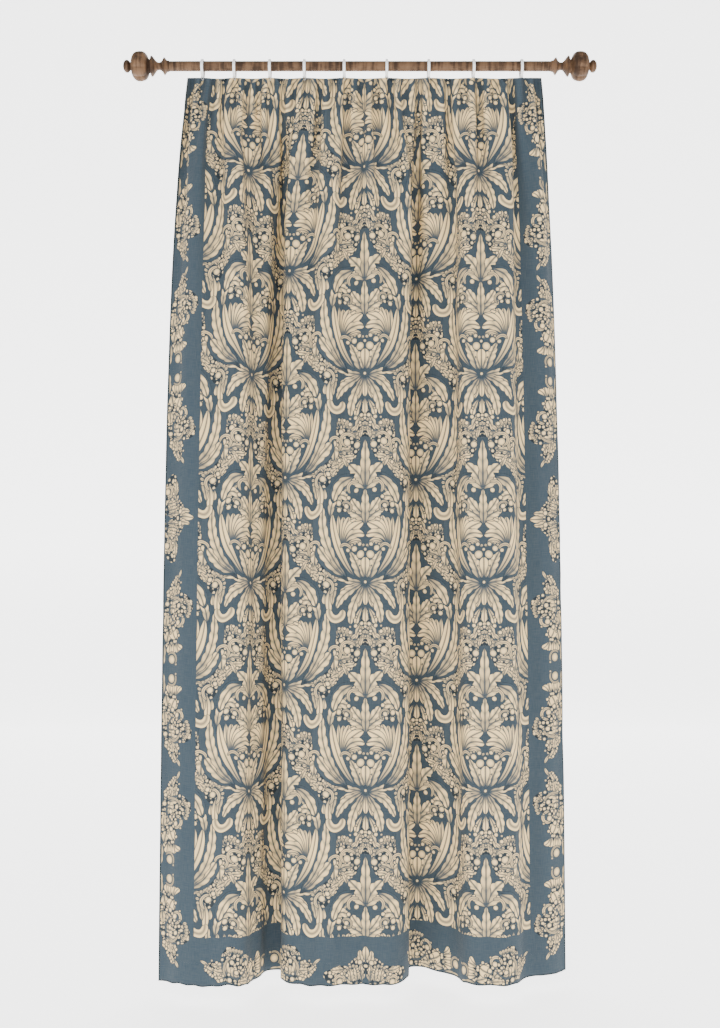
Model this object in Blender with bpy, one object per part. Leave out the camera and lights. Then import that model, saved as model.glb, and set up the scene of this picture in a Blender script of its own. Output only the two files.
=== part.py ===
"""Damask curtain, gathered on a wooden rod by nine rings, with a turned finial at each end.

Metres, +Z up. +X runs along the rod to the right, and the room is on the -Y side.
The origin lies on the rod's axis, half way along the rod.

Cloth places are given as u, the distance across the flat cloth from its left edge, and v, the
distance down the flat cloth from its top edge. The cloth keeps its full width at every height:
where it is narrower, it stands in folds.
"""

from collections import namedtuple
from math import pi, radians

import bmesh
import bpy
import numpy as np
from mathutils import Matrix

# Clearance between pieces that touch
FIT_GAP = 0.0003

# Rod and finials
ROD_RADIUS = 0.0125
ROD_LENGTH = 0.976
ROD_SIDES = 32
FINIAL_SIDES = 32
MELON_LOBES = 8
MELON_GROOVE = 0.11          # depth of a groove between lobes, as a share of the radius

# Finial profile, from the rod outwards: how far out, and the radius there
Turning = namedtuple("Turning", "part out radius")
FINIAL_PROFILE = (
    Turning("collar", 0.0000, 0.0130),
    Turning("collar", 0.0035, 0.0140),
    Turning("small_bead", 0.0105, 0.0212),
    Turning("small_bead", 0.0135, 0.0200),
    Turning("neck", 0.0200, 0.0118),
    Turning("neck", 0.0265, 0.0095),
    Turning("neck", 0.0335, 0.0120),
    Turning("large_bead", 0.0420, 0.0250),
    Turning("large_bead", 0.0455, 0.0250),
    Turning("groove", 0.0490, 0.0165),
)
MELON_START = 0.0505
MELON_LENGTH = 0.0475
MELON_RADIUS = 0.0380
MELON_ROWS = 9
MELON_SQUARENESS = 2.35      # 2 is an ellipse, more is fuller at the shoulders
BUTTON_LENGTH = 0.0200
BUTTON_RADIUS = 0.0158
BUTTON_ROWS = 5
BUTTON_NECK_RADIUS = 0.0105

# Rings: a flat band, round enough to slide, that hangs on the rod
RING_INNER_RADIUS = 0.0190
RING_OUTER_RADIUS = 0.0232
RING_BAND = 0.0068
RING_CHAMFER = 0.0012
RING_SIDES = 24
RING_PLACES = (-0.4027, -0.3212, -0.2306, -0.1421, -0.0404, 0.0684, 0.1754, 0.2903, 0.4130)

# Cloth as cut, and as it hangs
CLOTH_WIDTH = 1.400
CLOTH_DROP = 2.300
CLOTH_THICKNESS = 0.0018
HEM_DEPTH = 0.060
HEM_THICKNESS = 0.0030
CURTAIN_MIDDLE = 0.0113      # the cloth hangs a little to the right of the rod's middle
HEADING_WIDTH = 0.900
FLARE = 0.098                # width gained soon below the heading
FLARE_DROP = 0.48
SPREAD = 0.020               # width gained for each metre below it
HEADING_DIP = 0.002          # sag of the top edge between two rings

# Gathers: fine waves at the heading, fewer and softer ones below it
GATHERS_PER_RING = 3
RIPPLES = 11
GATHER_FADE = 0.22

# Broad folds of the hanging cloth, from the left edge to the right one: the cloth's width in
# each run, how far it leans back from facing the room, and the width of cloth in which it turns
# into the next run
FoldRun = namedtuple("FoldRun", "name width lean turn")
FOLD_RUNS = (
    FoldRun("left_edge", 0.135, -20, 0.100),
    FoldRun("left_crest", 0.110, 6, 0.070),
    FoldRun("left_return", 0.102, 76, 0.050),
    FoldRun("left_valley", 0.048, 0, 0.050),
    FoldRun("middle_rise", 0.100, -76, 0.050),
    FoldRun("middle_crest", 0.120, -8, 0.080),
    FoldRun("middle_dip", 0.075, 18, 0.070),
    FoldRun("middle_shoulder", 0.085, -14, 0.070),
    FoldRun("middle_return", 0.125, 74, 0.060),
    FoldRun("right_valley", 0.060, 0, 0.060),
    FoldRun("right_rise", 0.165, -48, 0.080),
    FoldRun("right_crest", 0.060, -2, 0.060),
    FoldRun("right_fall", 0.095, 42, 0.080),
    FoldRun("right_edge", 0.120, 20, 0.080),
)
FOLD_STRENGTH = 1.04
FOLD_DROP = 0.27             # the folds reach most of their depth in this drop
FORWARD = 0.030              # the folds stand a little to the room side of the rod

# Mesh of the cloth
CLOTH_COLUMNS = 162
CLOTH_ROW_PLACES = (0.0, 0.05, 0.11, 0.19, 0.29, 0.42, 0.60, 0.84, 1.16, 1.56, 1.96, 2.24, 2.30)
SAMPLES_PER_COLUMN = 8


# ---------------------------------------------------------------- cloth

def hung_width(v):
    """Width of the hanging cloth at drop v: fast flare below the heading, then a slow spread."""
    return HEADING_WIDTH + FLARE * (1 - np.exp(-v / FLARE_DROP)) + SPREAD * v


def fold_lean(u):
    """Lean of the broad folds: each fold line turns the cloth by a smooth step to the next run."""
    lean = np.full_like(u, FOLD_RUNS[0].lean, dtype=float)
    line = 0.0
    for run, following in zip(FOLD_RUNS, FOLD_RUNS[1:]):
        line += run.width
        part = np.clip((u - line) / run.turn + 0.5, 0, 1)
        lean += (following.lean - run.lean) * part * part * (3 - 2 * part)
    return np.radians(lean)


def fold_share(v):
    """Share of their full lean that the broad folds have at drop v: none at the heading."""
    return FOLD_STRENGTH * (1 - np.exp(-(v / FOLD_DROP) ** 1.4))


def gather_wave(u, v):
    """Wave of the small folds: gathers tied to the rings, fading into wider ripples below."""
    left = CURTAIN_MIDDLE - HEADING_WIDTH / 2
    ring_u = (np.array(RING_PLACES) - left) * CLOTH_WIDTH / HEADING_WIDTH
    pitch = (ring_u[1] - ring_u[0]) / GATHERS_PER_RING
    known_u = np.concatenate([[ring_u[0] - pitch], ring_u, [ring_u[-1] + pitch * 1.5]])
    turns = GATHERS_PER_RING * np.arange(len(RING_PLACES))
    known_turns = np.concatenate([[-1], turns, [turns[-1] + 1.5]])
    gathers = np.cos(2 * pi * np.interp(u, known_u, known_turns))
    ripples = np.cos(2 * pi * RIPPLES * u / CLOTH_WIDTH + 1.0)
    share = np.exp(-v / GATHER_FADE)
    return share * gathers + (1 - share) * ripples


def gather_strength(u, v, folds):
    """Strength of the small folds that leaves each row just as wide as it hangs, by bisection."""
    wave = gather_wave(u, v)
    low = np.zeros((len(v), 1))
    high = np.full((len(v), 1), 1.9)
    for _ in range(40):
        middle = (low + high) / 2
        width = np.cos(folds + middle * wave).mean(axis=1, keepdims=True) * CLOTH_WIDTH
        too_wide = width > hung_width(v)
        low = np.where(too_wide, middle, low)
        high = np.where(too_wide, high, middle)
    return low * wave


def cloth_grid(columns, row_places):
    """Places of the cloth's middle surface: rows down the cloth, columns across it.

    At each height the plan of the cloth is a curve of the cloth's own width. Its direction
    is fold_lean + gathers, so x is the sum of cos(direction) du and y that of sin(direction)
    du. Each row hangs one cloth length below the row above, slack taken up by its slant.
    """
    steps = columns * SAMPLES_PER_COLUMN
    du = CLOTH_WIDTH / steps
    u = ((np.arange(steps) + 0.5) * du)[None, :]
    v = np.array(row_places)[:, None]
    folds = fold_lean(u) * fold_share(v)
    direction = folds + gather_strength(u, v, folds)
    zero = np.zeros((len(row_places), 1))
    x = np.concatenate([zero, np.cumsum(np.cos(direction), axis=1) * du], axis=1)
    y = np.concatenate([zero, np.cumsum(np.sin(direction), axis=1) * du], axis=1)
    x += CURTAIN_MIDDLE - x[:, -1:] / 2
    y -= y.mean(axis=1, keepdims=True) + FORWARD * fold_share(v)
    x = x[:, ::SAMPLES_PER_COLUMN]
    y = y[:, ::SAMPLES_PER_COLUMN]
    spacing = np.diff(v, axis=0)
    fall = np.sqrt(spacing ** 2 - np.diff(x, axis=0) ** 2 - np.diff(y, axis=0) ** 2)
    z = np.empty_like(x)
    z[0] = heading_height(x[0])
    z[1:] = z[0] - np.cumsum(fall, axis=0)
    return np.stack([x, y, z], axis=-1)


def heading_height(x):
    """Height of the top edge: just below the rings, with a slight sag between them."""
    under_ring = ROD_RADIUS + FIT_GAP - RING_INNER_RADIUS - RING_OUTER_RADIUS - FIT_GAP
    between = np.interp(x, RING_PLACES, np.arange(len(RING_PLACES)))
    return under_ring - HEADING_DIP * np.sin(pi * between) ** 2


def surface_normals(grid):
    """Unit normals of a grid surface, towards the room, from the slopes across and down it."""
    across = np.gradient(grid, axis=1)
    down = np.gradient(grid, axis=0)
    normals = np.cross(down, across)
    return normals / np.linalg.norm(normals, axis=-1, keepdims=True)


def make_curtain():
    grid = cloth_grid(CLOTH_COLUMNS, CLOTH_ROW_PLACES)
    normals = surface_normals(grid)
    drops = np.array(CLOTH_ROW_PLACES)[:, None, None]
    in_hem = drops > CLOTH_DROP - HEM_DEPTH - FIT_GAP
    half = np.where(in_hem, HEM_THICKNESS, CLOTH_THICKNESS) / 2
    rows, columns = grid.shape[:2]
    room_side = (grid + normals * half).reshape(-1, 3)
    wall_side = (grid - normals * half).reshape(-1, 3)
    count = rows * columns
    faces = []
    for row in range(rows - 1):
        for column in range(columns - 1):
            a = row * columns + column
            b, c, d = a + 1, a + columns + 1, a + columns
            faces.append((a, d, c, b))
            faces.append((a + count, b + count, c + count, d + count))
    rim = list(range(columns))
    rim += [row * columns + columns - 1 for row in range(1, rows)]
    rim += [(rows - 1) * columns + column for column in range(columns - 2, -1, -1)]
    rim += [row * columns for row in range(rows - 2, 0, -1)]
    for a, b in zip(rim, rim[1:] + rim[:1]):
        faces.append((a, b, b + count, a + count))
    mesh = bpy.data.meshes.new("curtain_panel")
    mesh.from_pydata(np.concatenate([room_side, wall_side]).tolist(), [], faces)
    return finish_object("curtain_panel", mesh, "damask_cloth", (0.52, 0.50, 0.42), 0.85)


# ---------------------------------------------------------------- rod, rings and finials

def turned_mesh(name, profile, sides, closed=False):
    """Turn a profile of (along, radius) points round the X axis."""
    shape = bmesh.new()
    points = [shape.verts.new((along, 0, radius)) for along, radius in profile]
    pairs = list(zip(points, points[1:]))
    if closed:
        pairs.append((points[-1], points[0]))
    edges = [shape.edges.new(pair) for pair in pairs]
    bmesh.ops.spin(shape, geom=points + edges, cent=(0, 0, 0), axis=(1, 0, 0), angle=2 * pi,
                   steps=sides, use_duplicate=False)
    bmesh.ops.remove_doubles(shape, verts=shape.verts, dist=0.00001)
    bmesh.ops.recalc_face_normals(shape, faces=shape.faces)
    mesh = bpy.data.meshes.new(name)
    shape.to_mesh(mesh)
    shape.free()
    return mesh


def finish_object(name, mesh, finish, colour, roughness, crease=40):
    """Give a mesh its material, its shading and an object of the same name."""
    material = bpy.data.materials.get(finish) or bpy.data.materials.new(finish)
    material.use_nodes = True
    shader = material.node_tree.nodes["Principled BSDF"]
    shader.inputs["Base Color"].default_value = (*colour, 1)
    shader.inputs["Roughness"].default_value = roughness
    shader.inputs["Metallic"].default_value = 0.0
    mesh.materials.append(material)
    mesh.shade_smooth()
    mesh.set_sharp_from_angle(angle=radians(crease))
    piece = bpy.data.objects.new(name, mesh)
    bpy.context.scene.collection.objects.link(piece)
    return piece


def make_rod():
    half = ROD_LENGTH / 2
    profile = [(-half, 0), (-half, ROD_RADIUS), (half, ROD_RADIUS), (half, 0)]
    mesh = turned_mesh("rod", profile, ROD_SIDES)
    return finish_object("rod", mesh, "turned_wood", (0.19, 0.12, 0.075), 0.55)


def melon_profile():
    """Profile of the melon: a fuller ellipse, from the groove to the button."""
    rows = []
    for row in range(MELON_ROWS):
        share = (row + 0.5) / MELON_ROWS
        along = -np.cos(pi * share)
        radius = (1 - abs(along) ** MELON_SQUARENESS) ** (1 / MELON_SQUARENESS)
        rows.append((MELON_START + MELON_LENGTH * (1 + along) / 2, MELON_RADIUS * radius))
    return rows


def button_profile():
    """Profile of the end button: a neck, then half an ellipse that closes on the axis."""
    start = MELON_START + MELON_LENGTH
    rows = [(start + 0.0004, BUTTON_NECK_RADIUS)]
    for row in range(BUTTON_ROWS + 1):
        angle = pi * (0.2 + 0.8 * row / BUTTON_ROWS)
        along = start + BUTTON_LENGTH * (1 - np.cos(angle)) / 2
        rows.append((along, max(BUTTON_RADIUS * np.sin(angle), 0)))
    rows[-1] = (rows[-1][0], 0)
    return rows


def make_finial(name, side):
    """A turned finial with a lobed melon, on the rod's end at side -1 or 1."""
    profile = [(0, 0)]
    profile += [(turning.out, turning.radius) for turning in FINIAL_PROFILE]
    profile += melon_profile()
    profile += button_profile()
    mesh = turned_mesh(name, profile, FINIAL_SIDES)
    for vertex in mesh.vertices:
        share = (vertex.co.x - MELON_START) / MELON_LENGTH
        if 0 < share < 1:
            angle = np.arctan2(vertex.co.y, vertex.co.z)
            groove = MELON_GROOVE * (1 - abs(np.cos(MELON_LOBES / 2 * angle)))
            shrink = 1 - groove * np.sin(pi * share)
            vertex.co.y *= shrink
            vertex.co.z *= shrink
    if side < 0:
        mesh.transform(Matrix.Rotation(pi, 4, "Z"))
    piece = finish_object(name, mesh, "turned_wood", (0.19, 0.12, 0.075), 0.55)
    piece.location.x = side * (ROD_LENGTH / 2 + FIT_GAP)
    return piece


def ring_section():
    """Section of a ring: a rectangle across the band with its corners cut."""
    half, cut = RING_BAND / 2, RING_CHAMFER
    inner, outer = RING_INNER_RADIUS, RING_OUTER_RADIUS
    return [(-half, inner + cut), (-half, outer - cut), (cut - half, outer), (half - cut, outer),
            (half, outer - cut), (half, inner + cut), (half - cut, inner), (cut - half, inner)]


def make_rings():
    mesh = turned_mesh("ring", ring_section(), RING_SIDES, closed=True)
    hang = ROD_RADIUS + FIT_GAP - RING_INNER_RADIUS
    for number, place in enumerate(RING_PLACES, start=1):
        name = f"ring_{number}"
        piece = finish_object(name, mesh.copy(), "white_plastic", (0.85, 0.85, 0.83), 0.35)
        piece.location = (place, 0, hang)


def main():
    for piece in list(bpy.data.objects):
        bpy.data.objects.remove(piece)
    make_rod()
    make_finial("finial_left", -1)
    make_finial("finial_right", 1)
    make_rings()
    make_curtain()


main()
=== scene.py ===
"""Damask curtain on a wooden rod: the finished looks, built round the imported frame.

Every size that the frame holds is read from it. Cloth places are given as u, the distance
across the flat cloth from its left edge, and v, the distance down it from its top edge.
"""

from collections import namedtuple

import bpy
import numpy as np
from bpy.props import FloatProperty, FloatVectorProperty, IntProperty, PointerProperty
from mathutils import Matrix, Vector


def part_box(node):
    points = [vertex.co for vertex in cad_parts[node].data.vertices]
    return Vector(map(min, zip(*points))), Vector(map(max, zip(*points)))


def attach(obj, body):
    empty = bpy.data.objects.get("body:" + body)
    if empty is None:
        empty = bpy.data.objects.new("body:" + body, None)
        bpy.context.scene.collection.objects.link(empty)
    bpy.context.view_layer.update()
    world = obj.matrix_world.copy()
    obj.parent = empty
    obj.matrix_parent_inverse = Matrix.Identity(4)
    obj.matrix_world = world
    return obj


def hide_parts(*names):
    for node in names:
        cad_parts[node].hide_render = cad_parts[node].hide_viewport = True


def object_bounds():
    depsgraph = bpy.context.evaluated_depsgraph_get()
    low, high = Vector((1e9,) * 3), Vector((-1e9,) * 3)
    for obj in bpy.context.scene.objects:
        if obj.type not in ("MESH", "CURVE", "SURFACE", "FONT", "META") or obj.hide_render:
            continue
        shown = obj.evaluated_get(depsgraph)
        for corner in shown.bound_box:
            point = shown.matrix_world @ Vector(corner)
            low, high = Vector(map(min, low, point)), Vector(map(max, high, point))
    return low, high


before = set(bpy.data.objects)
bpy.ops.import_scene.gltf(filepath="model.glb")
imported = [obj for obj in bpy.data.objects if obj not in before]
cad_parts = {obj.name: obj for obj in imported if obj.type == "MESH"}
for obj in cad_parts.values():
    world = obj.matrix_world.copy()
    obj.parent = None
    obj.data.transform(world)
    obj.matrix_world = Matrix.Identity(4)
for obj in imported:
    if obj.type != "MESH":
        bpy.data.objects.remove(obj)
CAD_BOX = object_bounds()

bl_info = {
    "name": "Damask curtain",
    "version": (1, 0, 0),
    "blender": (4, 5, 0),
    "location": "3D View > Sidebar > Curtain",
    "description": "Makes a gathered damask curtain with its rod, finials and rings",
    "category": "Add Mesh",
}

BODY = "root"
RING_NODES = [f"ring_{number}" for number in range(1, 10)]
MM = 1000.0                  # millimetres in a metre

# ---------------------------------------------------------------- sizes read from the frame


def box_centre(node):
    """Middle of the box round a node."""
    low, high = (np.array(corner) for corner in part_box(node))
    return (low + high) / 2


def box_size(node):
    """Sizes of the box round a node."""
    low, high = (np.array(corner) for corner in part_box(node))
    return high - low


ROD_RADIUS = float(box_size("rod")[2] / 2)
ROD_HALF = float(box_size("rod")[0] / 2)
FIT_GAP = float(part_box("finial_right")[0][0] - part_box("rod")[1][0])
RING_PLACES = np.array([box_centre(node)[0] for node in RING_NODES])
RING_HANG = float(box_centre(RING_NODES[0])[2])
RING_OUTER = float(box_size(RING_NODES[0])[2] / 2)
RING_BAND = float(box_size(RING_NODES[0])[0])
RING_INNER = ROD_RADIUS + FIT_GAP - RING_HANG
FINIAL_LENGTH = float(box_size("finial_right")[0])
MELON_RADIUS = float(box_size("finial_right")[2] / 2)

# ---------------------------------------------------------------- folds of the hanging cloth

# Each run of cloth is width wide, leans by lean degrees from the rod's line in plan, and turns
# into the next over a stretch of turn.
FoldRun = namedtuple("FoldRun", "name width lean turn")
FOLD_RUNS = (
    FoldRun("left_edge", 0.135, -20, 0.100),
    FoldRun("left_crest", 0.110, 6, 0.070),
    FoldRun("left_return", 0.102, 76, 0.050),
    FoldRun("left_valley", 0.048, 0, 0.050),
    FoldRun("middle_rise", 0.100, -76, 0.050),
    FoldRun("middle_crest", 0.120, -8, 0.080),
    FoldRun("middle_dip", 0.075, 18, 0.070),
    FoldRun("middle_shoulder", 0.085, -14, 0.070),
    FoldRun("middle_return", 0.125, 74, 0.060),
    FoldRun("right_valley", 0.060, 0, 0.060),
    FoldRun("right_rise", 0.165, -48, 0.080),
    FoldRun("right_crest", 0.060, -2, 0.060),
    FoldRun("right_fall", 0.095, 42, 0.080),
    FoldRun("right_edge", 0.120, 20, 0.080),
)
FOLD_STRENGTH = 1.04         # share of those leans that the folds come to below
FOLD_DROP = 0.27             # drop over which they open out
FORWARD = 0.030              # how far the folded cloth comes towards the room
CURTAIN_MIDDLE = 0.0113      # x of the middle of every row
HEADING_WIDTH = 0.900
HEADING_DIP = 0.002          # sag of the top edge between two rings
FLARE = 0.098                # how much wider the cloth hangs below its heading
FLARE_DROP = 0.48            # drop over which it flares
SPREAD = 0.020               # further width for each metre of drop
GATHERS_PER_RING = 3
HEADING_END = 1.5            # gathers past the last ring
STEEPEST_GATHER = 1.9        # in radians
HALVINGS = 40                # of the search for the gathers' strength
RIPPLES = 11                 # soft waves across the cloth, low down
RIPPLE_START = 1.0           # where in its wave the first ripple starts, in radians
GATHER_FADE = 0.22           # drop over which gathers give way to ripples
GATHER_STEPS = 3200          # steps of the sum along each row


def smooth_step(share):
    """The smooth step s s (3 - 2 s), with s held between 0 and 1."""
    share = np.clip(share, 0, 1)
    return share * share * (3 - 2 * share)


def smooth_share(value, low, high):
    """0 below low and 1 above high, with the smooth step between them."""
    return smooth_step((value - low) / (high - low))


def hung_width(v):
    """Width at drop v: heading + flare (1 - e^(-v / flare drop)) + spread v."""
    return HEADING_WIDTH + FLARE * (1 - np.exp(-v / FLARE_DROP)) + SPREAD * v


def fold_lean(u):
    """Lean of the broad folds: at each fold line, a smooth step to the next run's lean."""
    lean = np.full_like(u, FOLD_RUNS[0].lean, dtype=float)
    line = 0.0
    for run, following in zip(FOLD_RUNS, FOLD_RUNS[1:]):
        line += run.width
        lean += (following.lean - run.lean) * smooth_step((u - line) / run.turn + 0.5)
    return np.radians(lean)


def fold_share(v):
    """Share of their lean that the folds have at drop v: strength (1 - e^(-(v / drop)^1.4))."""
    return FOLD_STRENGTH * (1 - np.exp(-(v / FOLD_DROP) ** 1.4))


def gather_wave(u, v, width):
    """Cosine gathers tied to the rings, fading as e^(-v / fade) into a wider cosine ripple."""
    left = CURTAIN_MIDDLE - HEADING_WIDTH / 2
    ring_u = (RING_PLACES - left) * width / HEADING_WIDTH
    pitch = (ring_u[1] - ring_u[0]) / GATHERS_PER_RING
    known_u = np.concatenate([[ring_u[0] - pitch], ring_u, [ring_u[-1] + pitch * HEADING_END]])
    turns = GATHERS_PER_RING * np.arange(len(RING_PLACES))
    known_turns = np.concatenate([[-1], turns, [turns[-1] + HEADING_END]])
    gathers = np.cos(2 * np.pi * np.interp(u, known_u, known_turns))
    ripples = np.cos(2 * np.pi * RIPPLES * u / width + RIPPLE_START)
    share = np.exp(-v / GATHER_FADE)
    return share * gathers + (1 - share) * ripples


def gather_lean(u, v, folds, width):
    """Gather wave times the strength that leaves each row as wide as it hangs, by bisection."""
    wave = gather_wave(u, v, width)
    low = np.zeros((len(v), 1))
    high = np.full((len(v), 1), STEEPEST_GATHER)
    for _ in range(HALVINGS):
        middle = (low + high) / 2
        hung = np.cos(folds + middle * wave).mean(axis=1, keepdims=True) * width
        too_wide = hung > hung_width(v)
        low = np.where(too_wide, middle, low)
        high = np.where(too_wide, high, middle)
    return low * wave


def heading_height(x):
    """Height of the top edge: a hair below the rings, less a sine-squared dip between them."""
    under_ring = RING_HANG - RING_OUTER - FIT_GAP
    between = np.interp(x, RING_PLACES, np.arange(len(RING_PLACES)))
    return under_ring - HEADING_DIP * np.sin(np.pi * between) ** 2


def hung_cloth(width, column_places, row_places):
    """Middle surface of the cloth at places across and down it, in metres of flat cloth.

    In plan each row is a curve as long as the cloth is wide: its direction is the fold lean
    plus the gathers, x = sum cos(direction) du and y = sum sin(direction) du. Each row lies
    one cloth length below the row above, z = -sum sqrt(dv dv - dx dx - dy dy).
    """
    du = width / GATHER_STEPS
    u = ((np.arange(GATHER_STEPS) + 0.5) * du)[None, :]
    v = np.asarray(row_places)[:, None]
    folds = fold_lean(u) * fold_share(v)
    direction = folds + gather_lean(u, v, folds, width)
    zero = np.zeros((len(row_places), 1))
    x = np.concatenate([zero, np.cumsum(np.cos(direction), axis=1) * du], axis=1)
    y = np.concatenate([zero, np.cumsum(np.sin(direction), axis=1) * du], axis=1)
    x += CURTAIN_MIDDLE - x[:, -1:] / 2
    y -= y.mean(axis=1, keepdims=True) + FORWARD * fold_share(v)
    place = np.asarray(column_places) / du
    below = np.minimum(place.astype(int), GATHER_STEPS - 1)
    share = place - below
    x = x[:, below] * (1 - share) + x[:, below + 1] * share
    y = y[:, below] * (1 - share) + y[:, below + 1] * share
    slant = np.diff(x, axis=0) ** 2 + np.diff(y, axis=0) ** 2
    fall = np.sqrt(np.diff(v, axis=0) ** 2 - slant)
    z = np.empty_like(x)
    z[0] = heading_height(x[0])
    z[1:] = z[0] - np.cumsum(fall, axis=0)
    return np.stack([x, y, z], axis=-1)


def room_normals(grid):
    """Unit normals of a grid surface, down x across, which face the room."""
    normals = np.cross(np.gradient(grid, axis=0), np.gradient(grid, axis=1))
    return normals / np.linalg.norm(normals, axis=-1, keepdims=True)


# ---------------------------------------------------------------- meshes from arrays

CLOTH_EDGE, TURNED_EDGE = np.radians(50), np.radians(40)   # bends past which an edge is sharp


def new_object(name, data):
    """An object in the scene, at the origin."""
    made = bpy.data.objects.new(name, data)
    bpy.context.scene.collection.objects.link(made)
    return made


def build_piece(name, vertices, faces, replaces=()):
    """Put arrays of vertices and of faces (three or four corners) into a piece on the frame."""
    mesh = bpy.data.meshes.new(name)
    vertices = np.asarray(vertices, dtype=np.float32).reshape(-1, 3)
    mesh.vertices.add(len(vertices))
    mesh.vertices.foreach_set("co", vertices.ravel())
    corners = np.concatenate([np.asarray(block, dtype=np.int32).ravel() for block in faces])
    sizes = np.concatenate([np.full(len(block), np.shape(block)[1]) for block in faces])
    starts = np.concatenate([[0], np.cumsum(sizes)[:-1]]).astype(np.int32)
    mesh.loops.add(len(corners))
    mesh.loops.foreach_set("vertex_index", corners)
    mesh.polygons.add(len(sizes))
    mesh.polygons.foreach_set("loop_start", starts)
    mesh.update(calc_edges=True)
    mesh.validate()
    mesh.shade_smooth()
    piece = new_object(name, mesh)
    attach(piece, BODY)
    if replaces:
        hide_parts(*replaces)
    return piece


def grid_faces(rows, columns, wrap_rows=False, wrap_columns=False):
    """Quads of a grid, each (r, c), (r+1, c), (r+1, c+1), (r, c+1), wrapped where asked."""
    r = np.arange(rows if wrap_rows else rows - 1)[:, None]
    c = np.arange(columns if wrap_columns else columns - 1)[None, :]
    below = (r + 1) % rows
    right = (c + 1) % columns
    quads = [r * columns + c, below * columns + c, below * columns + right, r * columns + right]
    return np.stack(np.broadcast_arrays(*quads), axis=-1).reshape(-1, 4)


def set_point_values(piece, name, values):
    """Store one number for each vertex, as an attribute."""
    layer = piece.data.attributes.new(name, "FLOAT", "POINT")
    layer.data.foreach_set("value", np.asarray(values, dtype=np.float32).ravel())


def set_uv(piece, name, uv_of_vertices):
    """Store a flat place for each vertex, as a UV map."""
    corners = np.empty(len(piece.data.loops), dtype=np.int32)
    piece.data.loops.foreach_get("vertex_index", corners)
    layer = piece.data.uv_layers.new(name=name)
    layer.uv.foreach_set("vector", uv_of_vertices[corners].astype(np.float32).ravel())


def turned_piece(name, profile, sides, replaces, place, facing=1.0, lobes=None):
    """Turn a profile round X: (along, radius) to (along, -radius sin a, radius cos a).

    lobes(along, angle) scales the radius. The two ends close in poles on the axis. facing -1
    turns the piece half way round Z, and place is then added along X.
    """
    along = np.array([point[0] for point in profile])[:, None]
    radius = np.array([point[1] for point in profile])[:, None]
    angle = (np.arange(sides) * 2 * np.pi / sides)[None, :]
    if lobes is not None:
        radius = radius * lobes(along, angle)
    body = np.stack(np.broadcast_arrays(along, -radius * np.sin(angle) * facing,
                                        radius * np.cos(angle)), axis=-1)
    body = body * np.array([facing, 1.0, 1.0])
    rows = len(profile)
    ends = np.array([[profile[0][0] * facing, 0, 0], [profile[-1][0] * facing, 0, 0]])
    vertices = np.concatenate([body.reshape(-1, 3), ends]) + np.array([place, 0, 0])
    around = np.arange(sides)
    ahead = (around + 1) % sides
    first, last = rows * sides, rows * sides + 1
    start_fan = np.stack([around, ahead, np.full(sides, first)], axis=-1)
    last_row = (rows - 1) * sides
    end_fan = np.stack([last_row + ahead, last_row + around, np.full(sides, last)], axis=-1)
    faces = [grid_faces(rows, sides, wrap_columns=True)[:, ::-1], start_fan[:, ::-1],
             end_fan[:, ::-1]]
    piece = build_piece(name, vertices, faces, replaces)
    piece.data.set_sharp_from_angle(angle=TURNED_EDGE)
    return piece


# ---------------------------------------------------------------- node trees


def operator(operation):
    """An arithmetic operator that adds a node, with the signal first."""
    return lambda signal, other: signal.math(operation, other)


def reflected(operation):
    """The same with the signal second, for a number on the operator's left."""
    return lambda signal, other: signal.math(operation, first=other)


class Signal:
    """A number that runs through a finish's nodes. Arithmetic on it adds Math nodes."""

    __add__ = __radd__ = operator("ADD")
    __mul__ = __rmul__ = operator("MULTIPLY")
    __sub__, __rsub__ = operator("SUBTRACT"), reflected("SUBTRACT")
    __truediv__, __rtruediv__ = operator("DIVIDE"), reflected("DIVIDE")

    def __init__(self, finish, socket):
        self.finish = finish
        self.socket = socket

    def math(self, operation, *others, clamp=False, first=None):
        """Add the node of an operation on this signal and others, or on first and this one."""
        settings = {"operation": operation, "use_clamp": clamp}
        terms = (self, *others) if first is None else (first, self, *others)
        return self.finish.node("ShaderNodeMath", settings, terms)

    def __abs__(self):
        return self.math("ABSOLUTE")

    def times_plus(self, factor, term, clamp=False):
        """signal factor + term, in one node."""
        return self.math("MULTIPLY_ADD", factor, term, clamp=clamp)

    def clamped(self):
        """The signal held between 0 and 1."""
        return self.math("ADD", 0.0, clamp=True)

    def step(self, low, high):
        """0 below low and 1 above high, with a smooth rise between them."""
        settings = {"interpolation_type": "SMOOTHSTEP"}
        return self.finish.node("ShaderNodeMapRange", settings,
                                {"Value": self, "From Min": low, "From Max": high})


class Triple(Signal):
    """Three numbers that run side by side. Arithmetic on them adds Vector Math nodes.

    Those nodes can't clamp, so clamp does nothing here.
    """

    def math(self, operation, *others, clamp=False, first=None):
        terms = (self, *others) if first is None else (first, self, *others)
        terms = [np.full(3, term) if np.isscalar(term) else term for term in terms]
        return self.finish.triple("ShaderNodeVectorMath", {"operation": operation}, terms)

    def dot(self, other):
        """Sum of the three products with another three numbers."""
        settings = {"operation": "DOT_PRODUCT"}
        return self.finish.node("ShaderNodeVectorMath", settings, (self, other), output="Value")

    def total(self):
        """Sum of the three numbers."""
        return self.dot((1.0, 1.0, 1.0))


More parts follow.
